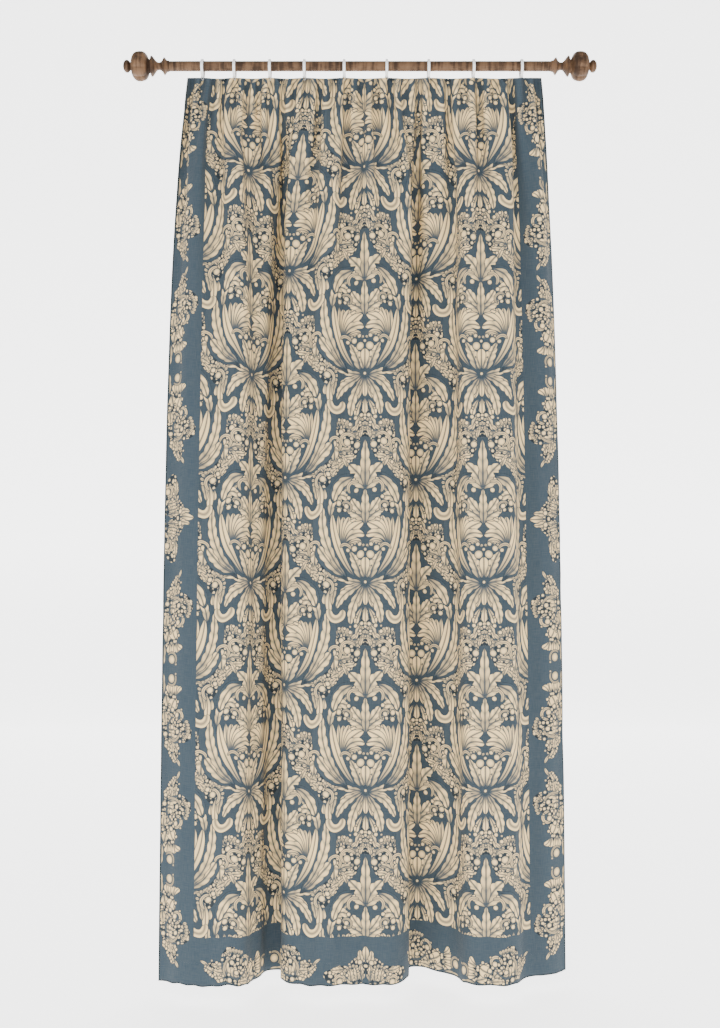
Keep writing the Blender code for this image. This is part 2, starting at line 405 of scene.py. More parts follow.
class Nodes:
    """A node tree and the ways to add to it."""

    def __init__(self, tree):
        self.tree = tree

    def _add(self, kind, settings, inputs, output):
        node = self.tree.nodes.new(kind)
        for setting, value in settings.items():
            if setting == "stops":
                self._set_stops(node.color_ramp, value)
            elif setting == "curves":
                self._set_curves(node.mapping, value)
            else:
                setattr(node, setting, value)
        pairs = inputs.items() if isinstance(inputs, dict) else enumerate(inputs)
        for socket, value in pairs:
            if isinstance(value, Signal):
                self.tree.links.new(value.socket, node.inputs[socket])
            else:
                node.inputs[socket].default_value = value
        return node.outputs[output]

    def node(self, kind, settings=None, inputs=(), output=0):
        """Add a node of a kind: its settings first, then values or links to its sockets."""
        return Signal(self, self._add(kind, settings or {}, inputs, output))

    def triple(self, kind, settings=None, inputs=(), output=0):
        """The same, for a node whose output holds three numbers."""
        return Triple(self, self._add(kind, settings or {}, inputs, output))

    @staticmethod
    def _set_stops(ramp, stops):
        while len(ramp.elements) < len(stops):
            ramp.elements.new(1.0)
        for element, (place, colour) in zip(ramp.elements, stops):
            element.position = place
            element.color = (*colour[:3], 1.0)

    @staticmethod
    def _set_curves(mapping, curves):
        for curve, points in zip(mapping.curves, curves):
            while len(curve.points) < len(points):
                curve.points.new(0.5, 0.5)
            for point, (place, height) in zip(curve.points, points):
                point.location = (place, height)
                point.handle_type = "AUTO"
        mapping.update()

    def mix(self, share, first, second):
        """Blend of two colours by a share."""
        inputs = {0: share, 6: self.colour(first), 7: self.colour(second)}
        return self.node("ShaderNodeMix", {"data_type": "RGBA"}, inputs, output=2)

    @staticmethod
    def colour(value):
        return value if isinstance(value, Signal) else (*value[:3], 1.0)

    def place(self, scale=(1.0, 1.0, 1.0)):
        """Object coordinates, scaled."""
        coordinates = self.triple("ShaderNodeTexCoord", output="Object")
        return self.triple("ShaderNodeMapping", inputs={"Vector": coordinates, "Scale": scale})

    def axes(self, vector):
        """The three numbers of a vector, one by one."""
        return [self.node("ShaderNodeSeparateXYZ", inputs=(vector,), output=k) for k in range(3)]

    def noise(self, place, scale, detail=3.0, roughness=0.55, distortion=0.0):
        inputs = {"Vector": place, "Scale": scale, "Detail": detail, "Roughness": roughness,
                  "Distortion": distortion}
        return self.node("ShaderNodeTexNoise", inputs=inputs)


class Part(Nodes):
    """A node group: a part of a finish that is used many times with other numbers."""

    def __init__(self, name, numbers=(), triples=()):
        super().__init__(bpy.data.node_groups.new(name, "ShaderNodeTree"))
        kinds = {"NodeSocketFloat": (Signal, numbers), "NodeSocketVector": (Triple, triples)}
        for kind, (_, labels) in kinds.items():
            for label in labels:
                self.tree.interface.new_socket(label, in_out="INPUT", socket_type=kind)
        entry = self.tree.nodes.new("NodeGroupInput")
        self.given = {label: wrap(self, entry.outputs[label])
                      for wrap, labels in kinds.values() for label in labels}

    def give(self, signal):
        """Make a signal the group's output, and hand over its tree."""
        self.tree.interface.new_socket("Tone", in_out="OUTPUT", socket_type="NodeSocketFloat")
        self.tree.links.new(signal.socket, self.tree.nodes.new("NodeGroupOutput").inputs[0])
        return self.tree


class Finish(Nodes):
    """One material and its node tree, with what is the same all over set on the shader."""

    def __init__(self, name, **constants):
        self.material = bpy.data.materials.new(name)
        self.material.use_nodes = True
        super().__init__(self.material.node_tree)
        self.tree.nodes.clear()
        self.shader = self.tree.nodes.new("ShaderNodeBsdfPrincipled")
        out = self.tree.nodes.new("ShaderNodeOutputMaterial")
        self.tree.links.new(self.shader.outputs["BSDF"], out.inputs["Surface"])
        for socket, value in constants.items():
            self.shader.inputs[socket.replace("_", " ")].default_value = value

    def feed(self, socket, signal):
        """Link a signal to one of the shader's sockets."""
        self.tree.links.new(signal.socket, self.shader.inputs[socket])

    def bump(self, height, distance, strength):
        """Raise the surface by a height, at a distance in metres."""
        inputs = {"Height": height, "Distance": distance, "Strength": strength}
        self.feed("Normal", self.node("ShaderNodeBump", inputs=inputs))

    def put_on(self, *pieces):
        """Make this the one material of some pieces."""
        for piece in pieces:
            piece.data.materials.clear()
            piece.data.materials.append(self.material)


# ---------------------------------------------------------------- chart of the damask print

# All places in the chart are millimetres. In the field, x runs from the motif's axis and y up
# from the heart of its bottom fan; every other column of motifs is dropped by half a repeat.
# In the border, x is the distance from the cloth's edge and y the distance along it from the
# middle of a garland or a palmette.
#
# Leaf: from (x, y) to (to_x, to_y). half is its half width, bend how far its rib bows to the
# right, lobes the number of its lobes, and shape one of LEAF_SHAPES. A bed is a leaf that is
# filled with lumps instead of being painted.
# Berry: a disc.
# Scroll: a round stroke on an arc, from a start to an end angle in degrees. half is its half
# width, and open how much its radius grows in each radian.
# Fan: petals round a centre, between an inner and an outer radius and two angles. half is a
# petal's half width.
# light is the brightest tone of any of them.

CLOTH_WIDE, CLOTH_LONG = 1400.0, 2300.0
REPEAT = 523.0               # from one motif to the next in its column
COLUMN = 221.3               # from one column of motifs to the next
SEAM = COLUMN / 2            # where a motif meets its mirrored neighbour
AXIS_U = CLOTH_WIDE / 2      # axis of the middle column
HEART_V = 245.0              # heart of that column's top motif
FIELD_LOW = -150.0           # the folded strip runs from here, one repeat high
FIELD_TOP = FIELD_LOW + REPEAT
FIELD_EDGE = 107.0           # width of the side borders
FIELD_FOOT = 2178.0          # drop at which the foot border starts
ZONE_WIDE, ZONE_HIGH = SEAM / 2, REPEAT / 4
BORDER_ZONE = 8              # the field has zones 0 to 7
PALMETTE_V = 1132.0          # drop of the palmettes on the sides
RIM_LINE = 4.0               # width of the dark line along the cloth's edges

# Two garlands mirror each other at each of these middles, reach to either side of it.
Garlands = namedtuple("Garlands", "middle reach stretch")
GARLANDS = (Garlands(502.5, 251.5, 1.0), Garlands(1763.0, 252.0, 1.0),
            Garlands(704.0, 352.0, 0.93))

Leaf = namedtuple("Leaf", "x y to_x to_y half bend lobes shape light", defaults=(1.0,))
Berry = namedtuple("Berry", "x y radius light", defaults=(1.0,))
Scroll = namedtuple("Scroll", "x y radius open start end half light", defaults=(1.0,))
Fan = namedtuple("Fan", "x y inner outer start end petals half light", defaults=(1.0,))

# Share of the way along a leaf's chord, and its half width there as a share of half.
LEAF_SHAPES = {
    "leaf": ((0.0, 0.0), (0.05, 0.34), (0.22, 0.80), (0.42, 1.0), (0.68, 0.84), (0.88, 0.42),
             (1.0, 0.0)),
    "drop": ((0.0, 0.0), (0.06, 0.24), (0.35, 0.66), (0.62, 0.97), (0.76, 1.0), (0.92, 0.72),
             (1.0, 0.0)),
    "lance": ((0.0, 0.0), (0.04, 0.56), (0.20, 0.84), (0.50, 1.0), (0.74, 0.74), (0.92, 0.26),
              (1.0, 0.0)),
    "bud": ((0.0, 0.0), (0.06, 0.47), (0.20, 0.80), (0.50, 1.0), (0.80, 0.80), (0.94, 0.47),
            (1.0, 0.0)),
    "plume": ((0.0, 0.0), (0.05, 0.26), (0.25, 0.74), (0.52, 1.0), (0.78, 0.92), (0.93, 0.58),
              (1.0, 0.0)),
}

FIELD_BEDS = (
    Leaf(62, 296, 60, 404, 42, -6, 0, "bud"),
    Leaf(100, 262, 70, 330, 18, -4, 0, "bud"),
    Leaf(0, -62, 0, -160, 24, 0, 0, "drop"),
    Leaf(110, 40, 108, -30, 20, 0, 0, "bud"),
    Leaf(62, 176, 62, 216, 22, -4, 0, "bud"),
)

FIELD_LEAVES = (
    # palm leaves above the heart
    Leaf(12, 8, 42, 82, 15, -4, 4, "leaf"),
    Leaf(4, 8, 18, 46, 7, -2, 2, "leaf"),
    # bottom fan
    Leaf(8, -2, 92, 10, 10, -3, 4, "leaf"),
    Leaf(8, -4, 72, -27, 9, -5, 3, "leaf"),
    Leaf(5, -4, 78, -66, 13, -13, 5, "plume"),
    Leaf(3, -8, 22, -68, 8, 2, 2, "leaf"),
    Leaf(3, -6, 40, -104, 13, -9, 5, "plume"),
    Leaf(0, -8, 0, -58, 8, 0, 0, "drop"),
    Leaf(0, 12, 0, 62, 13, 0, 0, "drop"),
    # palmettes beside the axis, within the plumes
    Leaf(68, 90, 72, 172, 9, 0, 0, "leaf", 0.95),
    Leaf(64, 92, 57, 164, 9, 1, 0, "drop", 0.9),
    Leaf(62, 94, 42, 166, 10, 3, 0, "drop", 0.95),
    Leaf(60, 96, 24, 164, 11, 6, 0, "drop"),
    Leaf(57, 98, 7, 150, 14, 11, 0, "drop"),
    Leaf(50, 92, 10, 102, 8, 9, 0, "drop", 0.9),
    Leaf(55, 96, 3, 120, 15, 15, 2, "drop"),
    # spires on the axis
    Leaf(0, 150, 40, 158, 12, -10, 2, "plume"),
    Leaf(0, 152, 46, 184, 14, -4, 3, "plume"),
    Leaf(0, 166, 36, 212, 13, 3, 3, "plume"),
    Leaf(0, 146, 0, 240, 13, 0, 4, "lance"),
    Leaf(0, 232, 38, 258, 14, -6, 2, "plume"),
    Leaf(0, 238, 42, 298, 17, -5, 3, "plume"),
    Leaf(0, 240, 0, 364, 15, 0, 4, "lance"),
    # hood over the palmette
    Leaf(40, 244, 70, 206, 8, -6, 0, "leaf", 0.85),
    Leaf(96, 160, 78, 222, 12, 5, 3, "plume"),
    Leaf(86, 206, 42, 212, 14, 9, 3, "plume"),
    # leaves on the seam
    Leaf(60, 296, 96, 284, 10, -3, 2, "leaf"),
    Leaf(98, 262, 76, 284, 9, 3, 2, "leaf"),
    Leaf(74, 280, 50, 304, 8, 3, 2, "leaf"),
    Leaf(111, -28, 111, -58, 7, 0, 0, "drop"),
    Leaf(94, 50, 108, 14, 9, 2, 2, "leaf"),
    Leaf(92, 30, 84, 4, 9, -3, 2, "leaf"),
    # hooks beside the fan
    Leaf(94, -14, 98, -78, 10, -3, 0, "plume"),
    Leaf(78, -8, 91, -62, 9, -3, 2, "leaf", 0.9),
    # tassel on the axis
    Leaf(6, -60, 26, -104, 9, -3, 2, "drop"),
    Leaf(0, -58, 0, -100, 9, 0, 0, "drop"),
    Leaf(8, -102, 28, -146, 9, -3, 2, "leaf"),
    Leaf(4, -126, 14, -164, 7, -2, 0, "leaf", 0.95),
    # cluster in the shoulders
    Leaf(84, 296, 86, 340, 15, 0, 0, "drop"),
    Leaf(66, 306, 30, 318, 9, 3, 2, "drop"),
    Leaf(74, 320, 34, 336, 10, 4, 2, "leaf", 0.95),
    Leaf(46, 290, 62, 318, 8, -2, 0, "leaf", 0.95),
)

FIELD_PLUMES = (
    # deep channel round the motif
    Leaf(44, 2, 124, 192, 27, 24, 0, "plume", 0.20),
    Leaf(26, 276, 92, 198, 18, -13, 0, "plume", 0.20),
    Leaf(52, 10, 132, 90, 21, 7, 0, "plume", 0.20),
    # broad leaf below the plumes, plumes that close above the fan, and the hood
    Leaf(56, 14, 127, 86, 15, 6, 4, "plume"),
    Leaf(46, 12, 115, 184, 14, 25, 7, "plume"),
    Leaf(26, 14, 91, 170, 12, 15, 0, "plume"),
    Leaf(30, 268, 88, 202, 15, -12, 3, "plume"),
)

FIELD_FANS = (
    Fan(62, 364, 22, 48, -26, 150, 11, 6.0),
    Fan(86, 328, 18, 36, 175, 320, 7, 5.5),
    Fan(106, -8, 17, 32, 30, 210, 8, 5.0),
    Fan(28, -126, 14, 28, 140, 320, 7, 5.0, 0.95),
    Fan(22, 78, 14, 26, 20, 150, 6, 4.5, 0.95),
)

FIELD_SCROLLS = (
    Scroll(79, -74, 19, 0.0, -196, 20, 11),
    Scroll(107, -10, 18, 3.0, 80, 250, 5),
    Scroll(86, 346, 17, 3.0, 0, 240, 5),
    Scroll(48, 354, 18, 3.0, -70, 160, 5),
    Scroll(28, 238, 17, 0.0, -50, 130, 5, 0.95),
    Scroll(50, 190, 13, 0.0, 20, 250, 4, 0.9),
    Scroll(52, 82, 14, 0.0, 10, 170, 5, 0.9),
)

FIELD_BERRIES = (
    Berry(0, 0, 6), Berry(13, 70, 12), Berry(29, 86, 9), Berry(0, 82, 6, 0.95),
    Berry(15, 96, 7, 0.95), Berry(46, 82, 7, 0.95), Berry(24, 232, 8),
    Berry(44, 214, 7), Berry(71, 197, 9), Berry(70, 180, 8),
    Berry(50, 192, 8), Berry(38, 186, 5, 0.95), Berry(60, -82, 10),
    Berry(106, -8, 10), Berry(82, 22, 6), Berry(104, 30, 7),
    Berry(102, 268, 8), Berry(86, 346, 10), Berry(48, 353, 11),
    Berry(22, 346, 10), Berry(64, 376, 9), Berry(105, 314, 8),
    Berry(44, 306, 6), Berry(70, 304, 7),
    Berry(10, -104, 7), Berry(26, -108, 7), Berry(40, -110, 5, 0.95),
    Berry(14, -122, 6), Berry(0, -112, 6), Berry(40, -124, 7),
    Berry(55, -116, 6), Berry(70, -117, 6), Berry(84, -122, 7),
    Berry(97, -130, 7), Berry(108, -118, 8), Berry(68, 338, 7),
    Berry(104, 336, 6), Berry(36, 326, 5, 0.95), Berry(92, 300, 5, 0.95),
    Berry(0, -136, 5, 0.95), Berry(24, -86, 5, 0.95),
)

GARLAND_BEDS = (
    Leaf(28, 36, 46, 236, 31, -5, 0, "bud"),
    Leaf(22, 158, 98, 160, 30, 0, 0, "bud"),
)

GARLAND_LEAVES = (
    Leaf(4, 68, 4, 6, 8, 0, 2, "leaf", 0.9),
    Leaf(24, 66, 20, 40, 10, 0, 0, "drop"),
    Leaf(34, 68, 37, 40, 10, 0, 0, "drop"),
    Leaf(46, 68, 53, 42, 10, 0, 0, "drop"),
    Leaf(52, 66, 68, 48, 9, 3, 0, "drop"),
    Leaf(12, 64, 18, 94, 12, 0, 2, "plume"),
    Leaf(30, 110, 44, 76, 16, 4, 0, "plume"),
    Leaf(8, 104, 12, 140, 10, 0, 2, "leaf"),
    Leaf(18, 112, 38, 134, 12, 3, 2, "plume"),
    Leaf(14, 140, 46, 150, 14, -9, 2, "plume"),
    Leaf(20, 158, 56, 172, 12, -7, 2, "plume"),
    Leaf(16, 176, 26, 208, 10, -3, 2, "leaf"),
    Leaf(34, 176, 42, 212, 10, -2, 2, "leaf"),
    Leaf(50, 178, 54, 214, 10, 0, 2, "leaf"),
    Leaf(36, 208, 54, 232, 9, -4, 2, "leaf"),
    Leaf(52, 224, 67, 250, 5, 2, 0, "lance"),
)

GARLAND_FANS = (
    Fan(54, 150, 24, 40, -38, 52, 7, 5.0),
)

GARLAND_BERRIES = (
    Berry(26, 166, 6), Berry(8, 148, 5), Berry(22, 104, 6), Berry(24, 90, 5, 0.95),
    Berry(68, 158, 5, 0.95), Berry(46, 134, 6), Berry(70, 104, 5, 0.95),
    Berry(31, 24, 13), Berry(47, 12, 5), Berry(57, 83, 6), Berry(8, 98, 6),
    Berry(36, 102, 8), Berry(54, 116, 9), Berry(38, 118, 5),
    Berry(12, 164, 8), Berry(57, 158, 8), Berry(34, 146, 8),
    Berry(66, 184, 6), Berry(15, 186, 7), Berry(22, 202, 6),
    Berry(30, 218, 6), Berry(42, 230, 6), Berry(60, 200, 6),
    Berry(46, 196, 5, 0.95), Berry(64, 214, 5, 0.95), Berry(28, 188, 5, 0.95),
    Berry(52, 232, 5), Berry(76, 178, 5, 0.95), Berry(70, 128, 5, 0.95),
)

GARLAND_SCROLLS = (
    Scroll(31, 24, 17, 0.0, -60, 150, 4, 0.9),
    Scroll(58, 120, 14, 0.0, -130, 110, 5),
    Scroll(40, 150, 30, 0.0, 10, 130, 4, 0.95),
)

PALMETTE_BEDS = (
    Leaf(-6, 26, 74, 12, 24, -4, 0, "bud"),
    Leaf(22, 6, 26, 112, 25, 0, 0, "bud"),
)

PALMETTE_LEAVES = (
    Leaf(62, 0, 99, 0, 10, 0, 0, "lance"),
    Leaf(50, 8, 90, 15, 9, -3, 2, "leaf"),
    Leaf(6, 10, 56, 12, 9, -2, 4, "leaf"),
    Leaf(8, 22, 52, 30, 10, 3, 4, "leaf"),
    Leaf(6, 38, 44, 44, 10, 2, 3, "leaf"),
    Leaf(38, 54, 42, 96, 10, -2, 4, "leaf"),
)

PALMETTE_FANS = (
    Fan(24, 32, 14, 28, -30, 130, 8, 4.5),
)

PALMETTE_BERRIES = (
    Berry(56, 15, 8), Berry(8, 68, 10), Berry(64, 28, 5), Berry(52, 42, 5),
    Berry(34, 20, 5), Berry(24, 48, 6), Berry(28, 62, 6), Berry(2, 24, 6),
)

PALMETTE_SCROLLS = (
    Scroll(8, 68, 15, 0.0, -80, 90, 5),
)

# Layers of each part of the print, in painting order: a method of Print and its shapes.
FIELD_CHART = (
    ("lumps", FIELD_BEDS), ("leaves", FIELD_LEAVES), ("fans", FIELD_FANS),
    ("berries", FIELD_BERRIES), ("leaves", FIELD_PLUMES), ("scrolls", FIELD_SCROLLS),
)
GARLAND_CHART = (
    ("lumps", GARLAND_BEDS), ("leaves", GARLAND_LEAVES), ("fans", GARLAND_FANS),
    ("scrolls", GARLAND_SCROLLS), ("berries", GARLAND_BERRIES),
)
PALMETTE_CHART = (
    ("lumps", PALMETTE_BEDS), ("leaves", PALMETTE_LEAVES), ("fans", PALMETTE_FANS),
    ("scrolls", PALMETTE_SCROLLS), ("berries", PALMETTE_BERRIES),
)
DISCS = 7                    # discs that cover a leaf, a stroke or a fan, to test for overlaps
DISC_SHARE = 0.9             # size of a leaf's discs, as a share of its half width
CLEAR = 2.0                  # gap between shapes that are painted together


def leaf_line(leaf):
    """Places along a leaf's rib, which bows by bend in the middle: 4 bend s (1 - s)."""
    s = np.linspace(0, 1, DISCS)[:, None]
    start = np.array([leaf.x, leaf.y], dtype=float)
    run = np.array([leaf.to_x, leaf.to_y]) - start
    right = np.array([run[1], -run[0]]) / np.linalg.norm(run)
    return start + run * s + right * leaf.bend * 4 * s * (1 - s)


def outline_discs(shape):
    """Places and radii that cover a shape of the chart, to tell what it overlaps."""
    if isinstance(shape, Leaf):
        return leaf_line(shape), np.full(DISCS, shape.half * DISC_SHARE)
    if isinstance(shape, (Scroll, Fan)):
        turn = np.radians(np.linspace(shape.start, shape.end, DISCS))
        if isinstance(shape, Scroll):
            reach, half = shape.radius, shape.half
        else:
            reach, half = (shape.inner + shape.outer) / 2, (shape.outer - shape.inner) / 2
        line = np.stack([shape.x + reach * np.cos(turn), shape.y + reach * np.sin(turn)], 1)
        return line, np.full(DISCS, half)
    return np.array([[shape.x, shape.y]], dtype=float), np.array([shape.radius], dtype=float)


def repeats_of(shape, low, high):
    """The shape and its repeats that reach a box of the folded field, from low to high.

    The pattern repeats by REPEAT up the axis, and mirrored on the next axis by half of it.
    """
    found = []
    for rise in (-REPEAT, 0.0, REPEAT):
        for mirrored in (False, True):
            image = shape._replace(y=shape.y + rise + (REPEAT / 2 if mirrored else 0))
            if isinstance(shape, Leaf):
                image = image._replace(to_y=shape.to_y + image.y - shape.y)
            if mirrored:
                image = image._replace(x=COLUMN - shape.x)
                if isinstance(shape, Leaf):
                    image = image._replace(to_x=COLUMN - shape.to_x, bend=-shape.bend)
                elif isinstance(shape, (Scroll, Fan)):
                    image = image._replace(start=180 - shape.end, end=180 - shape.start)
                if isinstance(shape, Scroll):
                    image = image._replace(open=-shape.open)
            line, radii = outline_discs(image)
            near = (line + radii[:, None] > low) & (line - radii[:, None] < high)
            if near.all(axis=1).any():
                found.append(image)
    return found


def overlaps(first, second):
    """True where two shapes overlap or nearly touch."""
    a, a_radii = outline_discs(first)
    b, b_radii = outline_discs(second)
    apart = np.linalg.norm(a[:, None] - b[None], axis=-1)
    return bool((apart < a_radii[:, None] + b_radii[None] + CLEAR).any())


def in_threes(shapes):
    """Batches of up to three shapes that lie clear of each other, in painting order.

    A shape goes into the first batch after the last one that holds a shape it overlaps.
    """
    batches = []
    for shape in shapes:
        after = max([k + 1 for k, batch in enumerate(batches)
                     if any(overlaps(shape, other) for other in batch)], default=0)
        free = [k for k in range(after, len(batches)) if len(batches[k]) < 3]
        if free:
            batches[free[0]].append(shape)
        else:
            batches.append([shape])
    return batches


# ---------------------------------------------------------------- painting the print with nodes

OUTLINE = 1.2                # dark line round each shape, in millimetres
SOFT = 1.3                   # width over which its edge turns, in millimetres
FULL = OUTLINE + SOFT
FIELD_TONE, BORDER_TONE = 0.14, 0.18          # tones of the plain ground
TIP_GAIN, BASE_TONE = 0.70, 0.60              # a leaf's tone from its base to its tip
RIB_TONE, RIB_SHARE = 0.38, 0.24              # how dark its rib is, and how wide
LOBE_CUT, LOBE_SLANT, VEIN_CUT = 0.20, 1.0, 0.22   # depth and slant of lobes, and their veins
BERRY_GAIN, BERRY_TONE = 1.1, 0.5             # tones from edge to middle, and so on below
STROKE_GAIN, STROKE_TONE = 0.9, 0.55
PETAL_GAIN, PETAL_TONE = 0.7, 0.5
PETAL_RIB_GAIN, PETAL_RIB_TONE = 0.8, 0.6
LUMP_SPACE = 10.5            # from one lump of a bed to the next, in millimetres
LUMP_EDGE = (0.22, 0.53)     # where a lump's edge starts and ends, as shares of that space
LUMP_TONE = 0.95
LUMP_DISORDER = 0.75         # 0 for an even grid of lumps, 1 for scattered ones
BED_EDGE = (0.10, 0.45)      # tones between which a bed's edge takes hold
FAR_OFF = 9999               # place of a spare shape, which is never seen
# Tones, and the share of cream in each; the rest is ground.
CREAM_SHARES = ((0.32, 0.025), (0.5, 0.12), (0.75, 0.48), (1.0, 1.0))
# Share of the way along a stroke, and its half width there as a share of half.
STROKE_WIDTH = ((0.0, 0.0), (0.03, 0.50), (0.10, 0.85), (0.25, 1.0), (0.75, 1.0), (0.90, 0.85),
                (0.97, 0.50), (1.0, 0.0))


def lay_three(tone, depth, shade):
    """Cover the tone where three shapes are deeper than 0, and add their shades.

    inside = depth held between 0 and full; tone (1 - sum(inside) / soft) + sum(shade inside^2),
    where shade is the tone at full depth / full^2.
    """
    inside = depth.math("MINIMUM", FULL).math("MAXIMUM", 0.0)
    keep = inside.total().times_plus(-1 / SOFT, 1.0, clamp=True)
    return tone.times_plus(keep, (inside * inside).dot(shade))


def lay_one(tone, depth, shade):
    """The same for one shape, with shade the tone at full depth."""
    inside = (depth * (1 / FULL)).clamped()
    keep = inside.times_plus(-FULL / SOFT, 1.0, clamp=True)
    return tone.times_plus(keep, inside * inside * shade)


def leaf_part(shapes, lobed):
    """Three leaves at once, of the given shapes.

    s runs along a leaf's chord and t across it, bowed by 4 bend s (1 - s).
    depth = half shape(s) lobe - |t|, lobe = 1 - cut + cut |sin(pi lobes (s - slant |t|))|.
    shade = light (base + gain s) rib, rib rising with |t| from the leaf's middle line.
    """
    part = Part("print_leaves", ("Tone",),
                ("X", "Y", "Along X", "Along Y", "Along", "Across X", "Across Y", "Across", "Bend",
                 "Half", "Rib", "Light", "Lobes", "Slant", "Cut", "Vein"))
    given = part.given
    x, y, half, light = (given[name] for name in ("X", "Y", "Half", "Light"))
    s = x.times_plus(given["Along X"], y.times_plus(given["Along Y"], given["Along"]))
    t = x.times_plus(given["Across X"], y.times_plus(given["Across Y"], given["Across"]))
    away = abs((s * s).times_plus(given["Bend"], t))
    curves = [LEAF_SHAPES[shape] for shape in shapes]
    width = part.triple("ShaderNodeVectorCurve", {"curves": curves}, {"Vector": s}) * half
    shade = s.times_plus(TIP_GAIN, BASE_TONE).math("MINIMUM", 1.0) * light
    shade = shade * away.times_plus(given["Rib"], RIB_TONE).math("MINIMUM", 1.0)
    if lobed:
        lobe = abs(s.times_plus(given["Lobes"], away * given["Slant"]).math("SINE")) - 1.0
        width = width * lobe.times_plus(given["Cut"], 1.0)
        shade = shade * lobe.times_plus(given["Vein"], 1.0)
    return part.give(lay_three(given["Tone"], width - away, shade))


def leaf_inputs(batch):
    """Inputs of leaf_part for three leaves."""
    start = np.array([(leaf.x, leaf.y) for leaf in batch], dtype=float)
    run = np.array([(leaf.to_x, leaf.to_y) for leaf in batch]) - start
    half, bend, lobes, light = np.array([(leaf.half, leaf.bend, leaf.lobes, leaf.light)
                                         for leaf in batch], dtype=float).T
    length = np.linalg.norm(run, axis=1)
    along = run / length[:, None] ** 2
    across = np.stack([run[:, 1], -run[:, 0]], 1) / length[:, None] - 4 * bend[:, None] * along
    return {"Along X": along[:, 0], "Along Y": along[:, 1], "Along": -(along * start).sum(1),
            "Across X": across[:, 0], "Across Y": across[:, 1],
            "Across": -(across * start).sum(1), "Bend": 4 * bend, "Half": half,
            "Rib": (1 - RIB_TONE) / (RIB_SHARE * half), "Light": light / FULL ** 2,
            "Lobes": np.pi * lobes, "Slant": -np.pi * LOBE_SLANT * lobes / length,
            "Cut": np.where(lobes > 0, LOBE_CUT, 0.0), "Vein": np.where(lobes > 0, VEIN_CUT, 0.0)}


def berry_part():
    """Three round spots at once: depth = radius / 2 - distance^2 / (2 radius)."""
    part = Part("print_berries", ("Tone",), ("X", "Y", "Place X", "Place Y", "Bend", "Radius",
                                             "Gain", "Light"))
    given = part.given
    aside = given["X"] - given["Place X"]
    above = given["Y"] - given["Place Y"]
    square = aside.times_plus(aside, above * above)
    depth = square.times_plus(given["Bend"], given["Radius"])
    shade = depth.times_plus(given["Gain"], given["Light"] * BERRY_TONE)
    return part.give(lay_three(given["Tone"], depth, shade.math("MINIMUM", given["Light"])))


def berry_inputs(batch):
    """Inputs of berry_part for three berries."""
    x, y, radius, light = np.array(batch, dtype=float).T
    light = light / FULL ** 2
    return {"Place X": x, "Place Y": y, "Bend": -0.5 / radius, "Radius": radius / 2,
            "Gain": BERRY_GAIN * light / radius, "Light": light}


def turn_round(given):
    """Distance from a centre, turn from the middle of an arc, and share of the way along it."""
    ahead = given["Place"].dot(given["Ahead"])
    aside = given["Place"].dot(given["Aside"])
    distance = ahead.times_plus(ahead, aside * aside).math("SQRT")
    turn = aside.math("ARCTAN2", ahead)
    return distance, turn, (turn / given["Span"]).math("ADD", 0.5, clamp=True)


def arc_inputs(arc):
    """Inputs that scroll_part and fan_part share."""
    middle, span = np.radians((arc.start + arc.end) / 2), np.radians(arc.end - arc.start)
    along, up = np.cos(middle), np.sin(middle)
    return {"Ahead": (along, up, -along * arc.x - up * arc.y),
            "Aside": (-up, along, up * arc.x - along * arc.y), "Span": span, "Half": arc.half,
            "Light": arc.light}


def scroll_part():
    """Round stroke: depth = half width(share) - |distance - radius - open turn|."""
    part = Part("print_scroll", ("Tone", "Span", "Half", "Light", "Radius", "Open"),
                ("Place", "Ahead", "Aside"))
    given = part.given
    distance, turn, share = turn_round(given)
    away = abs(distance - given["Radius"] - turn * given["Open"])
    width = part.node("ShaderNodeFloatCurve", {"curves": [STROKE_WIDTH]}, {"Value": share})
    shade = (away / given["Half"]).times_plus(STROKE_GAIN, STROKE_TONE).math("MINIMUM", 1.0)
    shade = shade * given["Light"]
    return part.give(lay_one(given["Tone"], width * given["Half"] - away, shade))


def fan_part():
    """Petals round a centre: depth = half shape(s) - |distance from the petal's middle line|."""
    part = Part("print_fan", ("Tone", "Span", "Half", "Light", "Petal", "Inner", "Reach"),
                ("Place", "Ahead", "Aside"))
    given = part.given
    distance, _, share = turn_round(given)
    petal = given["Petal"] - share.math("PINGPONG", given["Petal"])
    away = petal * given["Span"] * distance
    s = (distance - given["Inner"]) / given["Reach"]
    width = part.node("ShaderNodeFloatCurve", {"curves": [LEAF_SHAPES["drop"]]}, {"Value": s})
    shade = s.times_plus(PETAL_GAIN, PETAL_TONE, clamp=True) * given["Light"]
    rib = (away / given["Half"]).times_plus(PETAL_RIB_GAIN, PETAL_RIB_TONE, clamp=True)
    shade = shade * rib
    return part.give(lay_one(given["Tone"], width * given["Half"] - away, shade))


